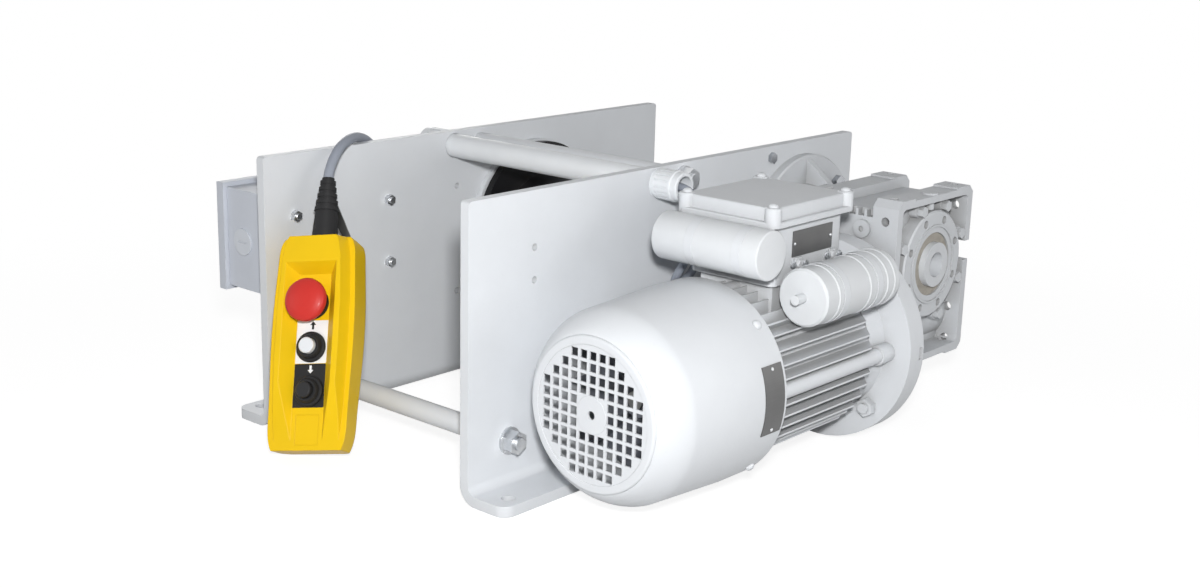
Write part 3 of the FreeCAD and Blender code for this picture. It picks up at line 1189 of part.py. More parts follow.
def fan():
    """The radial fan: a hub, a back disc and straight blades on its front."""
    plate_y = FAN_Y + FAN_W
    hub = rod(FAN_SEAT_D + 16, worm_at(FAN_Y), worm_at(plate_y))
    plate = rod(FAN_D, worm_at(plate_y - 3), worm_at(plate_y))
    blade = block(V(MOTOR_X + FAN_SEAT_D / 2 + 6, FAN_Y, MOTOR_Z - FAN_BLADE_T / 2),
                  V(MOTOR_X + FAN_D / 2 - 1, plate_y - 2, MOTOR_Z + FAN_BLADE_T / 2))
    blades = turned_copies(blade, FAN_BLADES, worm_at(0), Y_AXIS)
    bore = rod(FAN_SEAT_D + 2 * FIT, worm_at(FAN_Y - 1), worm_at(plate_y + 1))
    return fused([hub, plate] + blades).cut(bore)


def edges_in_plane(shape, y):
    boxes = [(e, e.BoundBox) for e in shape.Edges]
    return [e for e, box in boxes if abs(box.YMin - y) < 0.01 and abs(box.YMax - y) < 0.01]


def fan_cowl():
    """The pressed cowl: a deep bowl with a large shoulder and a grille of square holes."""
    outer_r = COWL_D / 2
    face_r = COWL_FACE_D / 2
    shoulder = outer_r - face_r
    bowl = rod(COWL_D, worm_at(COWL_Y0), worm_at(COWL_Y1))
    bowl = bowl.makeFillet(shoulder, edges_in_plane(bowl, COWL_Y0))
    floor_y = COWL_Y0 + COWL_WALL
    hollow = rod(COWL_D - 2 * COWL_WALL, worm_at(floor_y), worm_at(COWL_Y1 + 1))
    hollow = hollow.makeFillet(shoulder - COWL_WALL, edges_in_plane(hollow, floor_y))
    drill = rod(SCREW_D + 2 * HOLE_SLACK, V(MOTOR_X + outer_r - 5, (LUG_Y + FRAME_Y0) / 2, MOTOR_Z),
                V(MOTOR_X + outer_r + 1, (LUG_Y + FRAME_Y0) / 2, MOTOR_Z))
    drills = turned_copies(drill, 4, worm_at(0), Y_AXIS, 45)
    hub = rod(GRILLE_HUB_D, worm_at(COWL_Y0 - GRILLE_HUB_H), worm_at(COWL_Y0))
    eye = rod(GRILLE_EYE_D, worm_at(COWL_Y0 - 1), worm_at(floor_y + 1))
    return without(fused([bowl.cut(hollow), hub]), grille_holes() + [eye] + drills)


def grille_holes():
    """Square holes on a grid with its corners cut, round a blank middle."""
    half = GRILLE_HOLE / 2
    reach = V(half, COWL_WALL + 1, half)
    steps = range(-GRILLE_REACH, GRILLE_REACH + 1)
    holes = []
    for column in steps:
        for row in steps:
            in_hub = max(abs(column), abs(row)) <= GRILLE_HUB
            if abs(column) + abs(row) <= GRILLE_CORNER and not in_hub:
                centre = worm_at(COWL_Y0) + V(column, 0, row) * GRILLE_PITCH
                holes.append(block(centre - reach, centre + reach))
    return holes


def cover_screws():
    """Round-headed screws: four that hold the cowl, and four in the terminal box's lid."""
    surface = MOTOR_X + COWL_D / 2
    y = (LUG_Y + FRAME_Y0) / 2
    head = rod(SCREW_HEAD_D, V(surface, y, MOTOR_Z), V(surface + SCREW_HEAD_T, y, MOTOR_Z))
    flat = rod(COWL_D, worm_at(y - SCREW_HEAD_D), worm_at(y + SCREW_HEAD_D))
    under = rod(SCREW_HEAD_D, V(surface - 1, y, MOTOR_Z), V(surface, y, MOTOR_Z)).cut(flat)
    shank = rod(SCREW_D, V(surface - SCREW_L, y, MOTOR_Z), V(surface, y, MOTOR_Z))
    screw = fused([head, under, shank]) if under.Volume > 0.01 else fused([head, shank])
    screws = turned_copies(screw, 4, worm_at(0), Y_AXIS, 45)
    top = LID_Z + LID_T + POST_RISE
    for x, y in lid_posts():
        head = rod(SCREW_HEAD_D, V(x, y, top - 1.5), V(x, y, top))
        screws.append(fused([head, rod(SCREW_D, V(x, y, top - SCREW_L - 1.5), V(x, y, top - 1.5))]))
    return screws


# Terminal box and capacitors

BOX_Y = FRONT + BOX_FRONT
BOX_Z = MOTOR_Z + BOX_FOOT_Z
LID_Z = BOX_Z + BOX_H


def terminal_box():
    """The open cast box on the frame's pad, with a gland for the motor's lead."""
    low = V(MOTOR_X - BOX_W / 2, BOX_Y - BOX_L / 2, BOX_Z)
    high = V(MOTOR_X + BOX_W / 2, BOX_Y + BOX_L / 2, LID_Z)
    wall = V(BOX_WALL, BOX_WALL, 0)
    hollow = rounded_block(low + wall + Z_AXIS * BOX_WALL, high - wall + Z_AXIS, BOX_R - BOX_WALL / 2)
    seat = V(low.x, BOX_Y + GLAND_BACK, BOX_Z + BOX_H / 2)
    gland = rod(GLAND_D, seat - X_AXIS * GLAND_L, seat + X_AXIS)
    mouth = seat - X_AXIS * GLAND_L
    bore = rod(MOTOR_CABLE_D + 2 * FIT, mouth - X_AXIS, mouth + X_AXIS * GLAND_DEPTH)
    body = rounded_block(low, high, BOX_R).cut(hollow)
    return fused([body, gland]).cut(bore)


def lid_posts():
    along = LID_L / 2 - POST_D / 2
    across = LID_W / 2 - POST_D / 2
    return [(MOTOR_X + sx * across, BOX_Y + sy * along) for sx in (-1, 1) for sy in (-1, 1)]


def terminal_box_lid():
    """The lid: a skirt, a stepped top and a screw post at each corner."""
    half = V(LID_W / 2, LID_L / 2, 0)
    centre = V(MOTOR_X, BOX_Y, LID_Z)
    skirt = rounded_block(centre - half, centre + half + Z_AXIS * LID_SKIRT_T, POST_D / 2)
    inner = V(LID_W / 2 - LID_STEP, LID_L / 2 - LID_STEP, 0)
    crown = rounded_block(centre - inner, centre + inner + Z_AXIS * LID_T, LID_STEP)
    top = LID_Z + LID_T + POST_RISE
    posts = [rod(POST_D, V(x, y, LID_Z), V(x, y, top)) for x, y in lid_posts()]
    drills = []
    for x, y in lid_posts():
        drills.append(rod(SCREW_HEAD_D + 2 * FIT, V(x, y, top - 1.5), V(x, y, top + 1)))
        drills.append(rod(SCREW_D + 2 * FIT, V(x, y, top - SCREW_L - 1.5), V(x, y, top)))
    return without(fused([skirt, crown] + posts), drills)


RUN_CAP_Y = BOX_Y - BOX_L / 2 - CAP_GAP - RUN_CAP_D / 2
RUN_CAP_X = MOTOR_X + 2.0
START_CAP_X = MOTOR_X + BOX_W / 2 + CAP_GAP + START_CAP_D / 2
START_CAP_Y = FRONT + START_CAP_FRONT


def capacitor(diameter, length, origin, axis, beads):
    """A capacitor's can with rounded rims and raised beads at the given distances from its first end."""
    radius = diameter / 2 - CAP_BEAD
    profile = [(0, 0), (0, radius - 2), (2, radius)]
    for at in beads:
        profile += [(at, radius), (at + 1, radius + CAP_BEAD), (at + 3, radius + CAP_BEAD), (at + 4, radius)]
    profile += [(length - 2, radius), (length, radius - 2), (length, 0)]
    return turned(profile, origin, axis)


def run_capacitor():
    start = V(RUN_CAP_X - RUN_CAP_L / 2, RUN_CAP_Y, MOTOR_Z + RUN_CAP_Z)
    return capacitor(RUN_CAP_D, RUN_CAP_L, start, X_AXIS, (24.0, 60.0, 78.0))


def start_capacitor():
    start = V(START_CAP_X, START_CAP_Y, MOTOR_Z + START_CAP_Z)
    can = capacitor(START_CAP_D, START_CAP_L, start, Y_AXIS, (18.0, 68.0, 96.0, 108.0))
    stub = rod(CAP_STUB_D, start - Y_AXIS * CAP_STUB_L, start + Y_AXIS)
    return fused([can, stub])


def capacitor_clamps():
    """Bands round the two capacitors, each with a lug on the terminal box."""
    pieces = []
    face_x = MOTOR_X + BOX_W / 2
    inner_d = START_CAP_D - 2 * CAP_BEAD + 2 * FIT
    outer_d = inner_d + 2 * BAND_T
    for y in (START_CAP_Y + 26, START_CAP_Y + 80):
        centre = V(START_CAP_X, y, MOTOR_Z + START_CAP_Z)
        end = centre + Y_AXIS * BAND_W
        lug = block(V(face_x, y, centre.z), V(face_x + 2, y + BAND_W, BOX_Z + 22))
        foot = rod(8, V(face_x + 2, y + BAND_W / 2, BOX_Z + 16), V(face_x + 5, y + BAND_W / 2, BOX_Z + 16))
        band = fused([rod(outer_d, centre, end), lug, foot]).cut(rod(inner_d, centre, end))
        pieces.append(clear_of_box(band))
    face_y = BOX_Y - BOX_L / 2
    inner_d = RUN_CAP_D - 2 * CAP_BEAD + 2 * FIT
    outer_d = inner_d + 2 * BAND_T
    for x in (RUN_CAP_X - 12, RUN_CAP_X + 40):
        centre = V(x, RUN_CAP_Y, MOTOR_Z + RUN_CAP_Z)
        end = centre - X_AXIS * BAND_W
        lug = block(V(x - BAND_W, face_y - 2, centre.z - RUN_CAP_D / 2 - 6), V(x, face_y, centre.z))
        band = fused([rod(outer_d, centre, end), lug]).cut(rod(inner_d, centre, end))
        pieces.append(clear_of_box(band))
    return pieces


def clear_of_box(shape):
    """The part of a clamp that lies outside the terminal box and its lid."""
    half = V(BOX_W / 2, BOX_L / 2, 0)
    centre = V(MOTOR_X, BOX_Y, BOX_Z)
    return shape.cut(block(centre - half, centre + half + Z_AXIS * BOX_H))


def rating_plates():
    """The two bare rating plates: a flat one on the terminal box and a curved one on the cowl."""
    middle = V(MOTOR_X + BOX_W / 2, BOX_Y + RATING_BACK, BOX_Z + RATING_Z)
    half = Y_AXIS * (RATING_L / 2)
    flat = block(middle - half, middle + half + V(RATING_T, 0, RATING_H))
    inner_r = COWL_D / 2 + FIT
    end_y = COWL_Y1 - COWL_PLATE_IN
    start = worm_at(end_y - COWL_PLATE_W)
    band = tube(2 * (inner_r + RATING_T), 2 * inner_r, start, worm_at(end_y))
    spread = [start]
    for angle in (COWL_PLATE_FROM, COWL_PLATE_TO):
        a = math.radians(angle)
        spread.append(start + V(math.cos(a), 0, math.sin(a)) * 2 * inner_r)
    return [flat, band.common(prism(spread, Y_AXIS * COWL_PLATE_W))]


# Control box

def control_box():
    """The plastic box on the far plate's outer face, open towards its lid."""
    low = V(-OUTER - CONTROL_DEPTH, CONTROL_Y, CONTROL_Z)
    high = V(-OUTER, CONTROL_Y + CONTROL_L, CONTROL_Z + CONTROL_H)
    wall = V(0, CONTROL_WALL, CONTROL_WALL)
    hollow = block(low + wall - X_AXIS, high - wall - X_AXIS * CONTROL_WALL)
    holes = [rod(CONTROL_BOLT_D + 2 * HOLE_SLACK, V(high.x - CONTROL_WALL - 1, y, z), V(high.x + 1, y, z))
             for y, z in CONTROL_BOLTS]
    gland_x = -OUTER - CORD_GLAND_OUT
    gland_y = FRONT + CORD_GLAND_FRONT
    holes.append(rod(CORD_D + 2 * HOLE_SLACK, V(gland_x, gland_y, CONTROL_Z - 1),
                     V(gland_x, gland_y, CONTROL_Z + CONTROL_WALL + 1)))
    return without(block(low, high), [hollow] + holes)


def control_box_lid():
    proud = V(0, CONTROL_LID_PROUD, CONTROL_LID_PROUD)
    low = V(-OUTER - CONTROL_DEPTH - CONTROL_LID_T, CONTROL_Y, CONTROL_Z) - proud
    high = V(-OUTER - CONTROL_DEPTH, CONTROL_Y + CONTROL_L, CONTROL_Z + CONTROL_H) + proud
    lid = block(low, high)
    front = [e for e in lid.Edges if abs(e.CenterOfMass.x - low.x) < 0.01]
    return lid.makeFillet(2.5, front)


def control_box_blank():
    """The blanking plug in the box's front end, with a screwdriver slot."""
    seat = V(-OUTER - BLANK_OUT, CONTROL_Y, BLANK_Z)
    disc = rod(BLANK_D, seat, seat - Y_AXIS * BLANK_T)
    slot = block(seat - V(BLANK_D / 4, BLANK_T + 1, 0.8), seat + V(BLANK_D / 4, -BLANK_T / 2, 0.8))
    return disc.cut(slot)


def control_box_bolts():
    """Bolts from inside the box through the far plate, with nuts on the plate's inner face."""
    pieces = []
    for y, z in CONTROL_BOLTS:
        nut_seat = V(-HALF_GAP, y, z)
        end = nut_seat + X_AXIS * (CONTROL_BOLT_NUT_T + 2)
        head = V(-OUTER - CONTROL_WALL, y, z)
        pieces.append(bolt(head, end, CONTROL_BOLT_FLATS, CONTROL_BOLT_D, 4))
        pieces.append(nut(nut_seat, X_AXIS, CONTROL_BOLT_FLATS, CONTROL_BOLT_D, CONTROL_BOLT_NUT_T))
    return pieces


def cord_gland():
    """The cable gland under the control box: a hexagon and a domed nut round the cord."""
    seat = V(-OUTER - CORD_GLAND_OUT, FRONT + CORD_GLAND_FRONT, CONTROL_Z)
    bore_r = CORD_D / 2 + FIT
    nut_r = CORD_GLAND_D / 2
    dome = turned([(-CORD_GLAND_L, bore_r), (-CORD_GLAND_L, nut_r - 4), (-CORD_GLAND_L + 7, nut_r),
                   (-6, nut_r), (-6, bore_r)], seat, Z_AXIS)
    collar = hexagon(CORD_GLAND_D + 2, seat - Z_AXIS * 6, seat).cut(rod(2 * bore_r, seat - Z_AXIS * 6, seat))
    return fused([dome, collar])


# Pendant

def pendant_turn():
    """The pendant's place: leaning back on the far plate, turned a little towards the motor side."""
    turn = FreeCAD.Rotation(Z_AXIS, PENDANT_TURN)
    lean = FreeCAD.Rotation(X_AXIS, PENDANT_LEAN)
    roll = FreeCAD.Rotation(Y_AXIS, PENDANT_ROLL)
    foot = V(-HALF_GAP + PENDANT_IN, FRONT - PENDANT_AHEAD, PENDANT_LIFT)
    return FreeCAD.Placement(foot, turn.multiply(lean).multiply(roll))


def hung(shape):
    placed = shape.copy()
    placed.Placement = pendant_turn().multiply(placed.Placement)
    return placed


def half_width(height):
    """The pendant's half width at a height, between its sections."""
    part = height / PENDANT_H
    for (low, narrow, _), (high, wide, _) in zip(PENDANT_SECTIONS, PENDANT_SECTIONS[1:]):
        if part <= high:
            return PENDANT_W / 2 * (narrow + (wide - narrow) * (part - low) / (high - low))
    return PENDANT_W / 2 * PENDANT_SECTIONS[-1][1]


def pendant_section(height, width, depth):
    """The outline across the pendant at one height: flat front and sides, and a back with round corners."""
    w = PENDANT_W / 2 * width
    d = PENDANT_D * depth
    r = PENDANT_BACK_R
    bend = r * (1 - math.sqrt(0.5))
    z = PENDANT_H * height
    right = Part.Arc(V(w, d - r, z), V(w - bend, d - bend, z), V(w - r, d, z)).toShape()
    left = Part.Arc(V(r - w, d, z), V(bend - w, d - bend, z), V(-w, d - r, z)).toShape()
    ends = [(V(-w, 0, z), V(w, 0, z)), (V(w, 0, z), V(w, d - r, z)), (V(w - r, d, z), V(r - w, d, z)),
            (V(-w, d - r, z), V(-w, 0, z))]
    front, first, back, last = [Part.LineSegment(*pair).toShape() for pair in ends]
    return Part.Wire([front, first, right, back, left, last])


def top_at(y):
    """Height of the pendant's sloping top at a distance behind the channel's floor."""
    return PENDANT_H - TOP_DROP * y / PENDANT_D


def pendant_case():
    """The pendant's body behind the plane of the channel's floor, bowed along its length."""
    case = Part.makeLoft([pendant_section(*section) for section in PENDANT_SECTIONS], True, False)
    wide = PENDANT_W
    spare = PENDANT_D + 2
    above = prism([V(-wide, 0, PENDANT_H), V(-wide, spare, top_at(spare)), V(-wide, spare, PENDANT_H + 1),
                   V(-wide, 0, PENDANT_H + 1)], X_AXIS * 2 * wide)
    return case.cut(above)


def raised_frame():
    """The frame that stands round the buttons; it slopes on both sides and runs out at the foot."""
    heights = [PENDANT_H * section[0] for section in PENDANT_SECTIONS]

    def outline(y, inset):
        right = [V(half_width(z) - inset, y, z) for z in heights]
        left = [V(-p.x, p.y, p.z) for p in reversed(right)]
        return Part.makePolygon(right + left + right[:1])

    root = outline(1, RAISE_LEDGE - RAISE_SLOPE / RAISE)
    crest = outline(-RAISE, RAISE_LEDGE + RAISE_SLOPE)
    frame = Part.makeLoft([root, crest], True, True)
    wide = PENDANT_W
    ramp = prism([V(-wide, 0, RAMP_FOOT), V(-wide, -RAISE - 1, RAMP_TOP + 5), V(-wide, -RAISE - 1, -1),
                  V(-wide, 0, -1)], X_AXIS * 2 * wide)
    return frame.cut(ramp).cut(pendant_channel())


def pendant_channel():
    """The sloping-sided channel that holds the buttons, open towards the foot."""
    grow = CHANNEL_SLOPE / RAISE

    def outline(y, more):
        w = CHANNEL_FLOOR_W / 2 + more
        points = [V(-w, y, -1), V(w, y, -1), V(w, y, CHANNEL_TOP + more), V(-w, y, CHANNEL_TOP + more)]
        return Part.makePolygon(points + points[:1])

    return Part.makeLoft([outline(0, 0), outline(-RAISE - 1, CHANNEL_SLOPE + grow)], True, True)


def button_heights():
    return [ESTOP_Z, ESTOP_Z - BUTTON_PITCH, ESTOP_Z - 2 * BUTTON_PITCH]


def pendant_front():
    """The front shell, with the raised frame, a seat for a label and a well for each button."""
    front = block(V(-PENDANT_W, -1, -1), V(PENDANT_W, PENDANT_SPLIT, PENDANT_H + 1))
    shell = fused([pendant_case().common(front), raised_frame()])
    sizes = zip((ESTOP_STEM_D, BUTTON_D, BUTTON_D), button_heights())
    wells = [rod(d + 2 * TRAVEL_SPARE, V(0, -1, z), V(0, WELL_END, z)) for d, z in sizes]
    half = LABEL_SEAT_W / 2
    seat = block(V(-half, -1, LABEL_SEAT_FROM), V(half, LABEL_SEAT_T, LABEL_SEAT_TO))
    return hung(without(shell, wells + [seat]))


def pendant_back():
    rear = block(V(-PENDANT_W, PENDANT_SPLIT, -1), V(PENDANT_W, PENDANT_D + 2, PENDANT_H + 1))
    return hung(pendant_case().common(rear))


def boot_base():
    """The middle of the boot's foot on the pendant's sloping top."""
    return V(0, BOOT_AT, top_at(BOOT_AT))


def pendant_boot():
    """The ribbed cable boot on the pendant's top."""
    big = BOOT_D / 2
    small = BOOT_END_D / 2
    plain = BOOT_L * 0.5
    step = (BOOT_L - plain) / BOOT_RINGS
    profile = [(-BOOT_SINK, 0), (-BOOT_SINK, big), (0, big), (plain, big - 2.5)]
    for k in range(BOOT_RINGS):
        along = plain + k * step
        radius = big - 1.5 - (big - 1.5 - small) * k / (BOOT_RINGS - 1)
        profile += [(along, radius), (along + step * 0.55, radius), (along + step * 0.55, radius - 1.6),
                    (along + step, radius - 1.6)]
    profile.append((BOOT_L, 0))
    return hung(turned(profile, boot_base(), Z_AXIS).cut(pendant_case()))


def pendant_hanger():
    """The flat strap over the pendant's top, from one shoulder to the other behind the boot."""
    half = HANGER_W / 2
    foot = PENDANT_H - HANGER_SINK
    top = PENDANT_H + HANGER_H
    outer = [V(HANGER_HALF + half, 0, foot), V(HANGER_HALF + half, 0, PENDANT_H), V(half, 0, top)]
    inner = [V(HANGER_HALF - half, 0, foot), V(HANGER_HALF - half, 0, PENDANT_H), V(0, 0, top - 2 * HANGER_W)]
    points = outer + [V(-p.x, 0, p.z) for p in reversed(outer)]
    points += [V(-p.x, 0, p.z) for p in inner[:2]] + [inner[2]] + list(reversed(inner[:2]))
    strap = prism([p + Y_AXIS * HANGER_AT for p in points], Y_AXIS * HANGER_T)
    return hung(strap.cut(pendant_case()))


def pendant_bezels():
    """The collar under the emergency stop and the stepped rubber bezels of the two buttons."""
    collar_r = ESTOP_COLLAR_D / 2
    stem_r = ESTOP_STEM_D / 2 + TRAVEL_SPARE / 2
    rings = [turned([(0, stem_r), (0, collar_r), (ESTOP_COLLAR_H, collar_r - 2), (ESTOP_COLLAR_H, stem_r)],
                    V(0, 0, ESTOP_Z), -Y_AXIS)]
    rim = BEZEL_D / 2
    bore = BUTTON_D / 2 + TRAVEL_SPARE / 2
    for z in button_heights()[1:]:
        rings.append(turned([(0, bore), (0, rim), (2.5, rim), (3.5, rim - 1.2), (3.5, rim - 2.5),
                             (BEZEL_H - 2, rim - 3.2), (BEZEL_H, bore + 2), (BEZEL_H, bore)],
                            V(0, 0, z), -Y_AXIS))
    return [hung(ring) for ring in rings]


def estop_seat():
    return -(ESTOP_COLLAR_H + ESTOP_TRAVEL + TRAVEL_SPARE)


def estop_stem():
    """The stem of the emergency stop, which slides in its collar."""
    end = WELL_END - ESTOP_TRAVEL - TRAVEL_SPARE
    return hung(rod(ESTOP_STEM_D, V(0, estop_seat(), ESTOP_Z), V(0, end, ESTOP_Z)))


def estop_head():
    """The red mushroom head, crowned and rounded at its rim."""
    r = ESTOP_HEAD_D / 2
    t = ESTOP_HEAD_T
    profile = [(0, 0), (0, r - 4), (2.5, r - 1), (4.5, r), (7, r), (9.3, r - 1), (11, r - 3.5),
               (12.4, r - 7), (13.5, r - 12), (t, 3), (t, 0)]
    return hung(turned(profile, V(0, estop_seat(), ESTOP_Z), -Y_AXIS))


def button(z):
    """A push button's plunger, with a chamfered cap."""
    r = BUTTON_D / 2
    end = WELL_END - BUTTON_TRAVEL - TRAVEL_SPARE
    profile = [(-end, 0), (-end, r), (BUTTON_PROUD - 1, r), (BUTTON_PROUD, r - 1), (BUTTON_PROUD, 0)]
    return hung(turned(profile, V(0, 0, z), -Y_AXIS))


# Cord

def cord_coil():
    """The outer shape of the tied coil of spare cord, on the floor behind the far plate."""
    outer = 2 * COIL_R + CORD_D
    inner = 2 * COIL_R - CORD_D
    centre = V(-HALF_GAP - COIL_OUT, FRONT + COIL_FRONT, COIL_LIFT)
    return tube(outer, inner, centre, centre + Z_AXIS * CORD_D * COIL_LAYERS)


def cord_lead():
    """The cord's two open stretches: pendant to coil, and coil to control box."""
    coil = cord_coil()
    boot_end = pendant_turn().multVec(boot_base() + Z_AXIS * BOOT_L)
    risen = pendant_turn().multVec(boot_base() + Z_AXIS * (BOOT_L + CORD_RISE))
    edge = V(-HALF_GAP, FRONT, PLATE_H)
    corner = V(-HALF_GAP, FRONT, 0)
    mouth = V(-OUTER - CORD_GLAND_OUT, FRONT + CORD_GLAND_FRONT, CONTROL_Z - CORD_GLAND_L)
    from_pendant = [boot_end, risen] + [edge + p for p in CORD_OVER_EDGE]
    from_pendant += [corner + p for p in CORD_TO_COIL]
    to_box = [corner + p for p in CORD_TO_GLAND] + [mouth - Z_AXIS * CORD_GLAND_RUN, mouth]
    stretches = []
    for route in (from_pendant, to_box):
        body, radii, length = swept(route, CORD_D)
        fullness = body.Volume / (math.pi * CORD_D ** 2 / 4 * length)
        print("cord length %.0f" % length, "volume over section and length %.4f" % fullness)
        print("cord radii", [round(r) for r in radii])
        print("cord points", [tuple(round(c, 1) for c in p) for p in route])
        stretches.append(max(body.cut(coil).Solids, key=lambda solid: solid.Volume))
    return stretches


# Every node and its solids

def nodes():
    cable, cable_radii, cable_length = motor_cable()
    print("motor cable length %.0f" % cable_length, "radii", [round(r) for r in cable_radii])
    fitting = conduit_fitting()
    return {
        "near_side_plate": near_side_plate(),
        "far_side_plate": far_side_plate(),
        "spacers": [spacer(y, z) for y, z in TIES],
        "tie_rods": tie_rods(),
        "tie_washers": tie_rings(tie_washer),
        "tie_nuts": tie_rings(tie_nut),
        "conduit_tube": conduit_tube(),
        "conduit_fittings": [fitting, mirrored(fitting)],
        "motor_cable": cable,
        "frame_bolts": frame_bolts(),
        "drum": drum(),
        "drum_gear": drum_gear(),
        "drum_bearings": drum_bearings(),
        "drum_axle": drum_axle(),
        "drum_ring": drum_ring(),
        "pinion_shaft": pinion_shaft(),
        "worm_wheel": worm_wheel(),
        "worm": worm(),
        "gearbox_housing": gearbox_housing(),
        "gearbox_cover": gearbox_cover(),
        "gearbox_cover_bolts": gearbox_cover_bolts(),
        "gearbox_seals": gearbox_seals(),
        "gearbox_bearings": gearbox_bearings(),
        "gearbox_plugs": gearbox_plugs(),
        "output_flange": output_flange(),
        "input_flange": input_flange(),
        "motor_flange_bolts": motor_flange_bolts(),
        "motor_frame": motor_frame(),
        "drive_end_shield": drive_end_shield(),
        "rear_end_shield": rear_end_shield(),
        "stator": stator(),
        "rotor": rotor(),
        "motor_bearings": motor_bearings(),
        "brake_disc": brake_disc(),
        "brake_magnet": brake_magnet(),
        "fan": fan(),
        "fan_cowl": fan_cowl(),
        "cover_screws": cover_screws(),
        "terminal_box": terminal_box(),
        "terminal_box_lid": terminal_box_lid(),
        "run_capacitor": run_capacitor(),
        "start_capacitor": start_capacitor(),
        "capacitor_clamps": capacitor_clamps(),
        "rating_plates": rating_plates(),
        "control_box": control_box(),
        "control_box_lid": control_box_lid(),
        "control_box_blank": control_box_blank(),
        "control_box_bolts": control_box_bolts(),
        "cord_gland": cord_gland(),
        "pendant_front": pendant_front(),
        "pendant_back": pendant_back(),
        "pendant_boot": pendant_boot(),
        "pendant_hanger": pendant_hanger(),
        "pendant_bezels": pendant_bezels(),
        "estop_stem": estop_stem(),
        "estop_head": estop_head(),
        "up_button": button(button_heights()[1]),
        "down_button": button(button_heights()[2]),
        "cord_lead": cord_lead(),
        "cord_coil": cord_coil(),
    }


os.makedirs("parts", exist_ok=True)
for name, pieces in nodes().items():
    solids = pieces if isinstance(pieces, list) else [pieces]
    solids = [solid for piece in solids for solid in piece.Solids]
    shape = solids[0] if len(solids) == 1 else Part.makeCompound(solids)
    shape.exportStep("parts/%s.step" % name)
    print(name, len(solids), "valid" if shape.isValid() else "INVALID", "volume %.0f" % shape.Volume)
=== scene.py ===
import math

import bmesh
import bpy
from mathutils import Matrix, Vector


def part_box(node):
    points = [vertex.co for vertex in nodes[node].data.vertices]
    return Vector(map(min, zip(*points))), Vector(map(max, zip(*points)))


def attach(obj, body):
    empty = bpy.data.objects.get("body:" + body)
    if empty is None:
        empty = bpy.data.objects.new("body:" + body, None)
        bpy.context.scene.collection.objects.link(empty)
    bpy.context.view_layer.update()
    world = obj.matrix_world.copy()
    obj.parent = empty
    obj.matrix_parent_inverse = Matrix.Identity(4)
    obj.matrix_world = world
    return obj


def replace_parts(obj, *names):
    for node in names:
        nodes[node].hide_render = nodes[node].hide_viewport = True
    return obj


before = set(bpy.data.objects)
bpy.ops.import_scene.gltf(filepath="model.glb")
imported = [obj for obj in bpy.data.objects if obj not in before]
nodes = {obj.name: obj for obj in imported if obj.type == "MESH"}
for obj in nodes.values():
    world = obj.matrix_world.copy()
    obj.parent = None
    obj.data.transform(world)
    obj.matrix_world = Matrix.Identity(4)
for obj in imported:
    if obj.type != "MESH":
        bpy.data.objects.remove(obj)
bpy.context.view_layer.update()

# %% [markdown]
# # A worm gear winch
# The frame that was just loaded holds every machined piece of the winch in its real place, in metres.
# +Z is up, the motor is on the +X side, and the fan cowl and the pendant are at the front, towards -Y.
# This lesson gives those pieces their finishes, shapes a few soft shells anew, lays the two cables, and adds
# the small things that sit on the machined pieces: legends, rivets, screw heads, threads and the coil's ties.

scene = bpy.context.scene


# %% [markdown]
# ## The camera
# A photograph's viewpoint is a place, a direction, a roll and a focal length. These were fitted to the long
# straight edges of the two side plates and to the round rims of the motor, so the lens needs no shift.

# %% Camera
CAMERA_PLACE = Vector((1.0837, -1.1980, 0.5374))
CAMERA_AZIMUTH = math.radians(41.13)
CAMERA_ELEVATION = math.radians(14.77)
CAMERA_ROLL = math.radians(1.46)
CAMERA_LENS = 48.03


def camera_axes(azimuth, elevation, roll):
    """The camera's right, up and backward directions as the columns of a rotation."""
    level = math.cos(elevation)
    back = Vector((math.sin(azimuth) * level, -math.cos(azimuth) * level, math.sin(elevation)))
    right = Vector((math.cos(azimuth), math.sin(azimuth), 0.0))
    up = back.cross(right)
    turned_right = right * math.cos(roll) + up * math.sin(roll)
    turned_up = up * math.cos(roll) - right * math.sin(roll)
    return Matrix((turned_right, turned_up, back)).transposed()


camera = bpy.data.objects.new("camera", bpy.data.cameras.new("camera"))
scene.collection.objects.link(camera)
camera.data.sensor_fit = "HORIZONTAL"
camera.data.sensor_width = 36.0
camera.data.lens = CAMERA_LENS
turn = camera_axes(CAMERA_AZIMUTH, CAMERA_ELEVATION, CAMERA_ROLL)
camera.matrix_world = Matrix.Translation(CAMERA_PLACE) @ turn.to_4x4()
scene.camera = camera
print("camera at", tuple(round(c, 3) for c in CAMERA_PLACE), "lens", CAMERA_LENS)

# %% [markdown]
# ## Arithmetic on node sockets
# A finish is a graph of nodes, and most of its nodes only add, multiply or mix. The class below wraps one
# socket, so that `grain * 0.2 + 0.4` reads as arithmetic and adds the Math nodes by itself. Every other node
# comes from its one method `node`: the type, its settings, then the values or links of its sockets. The same
# method builds the Geometry Nodes trees further down.


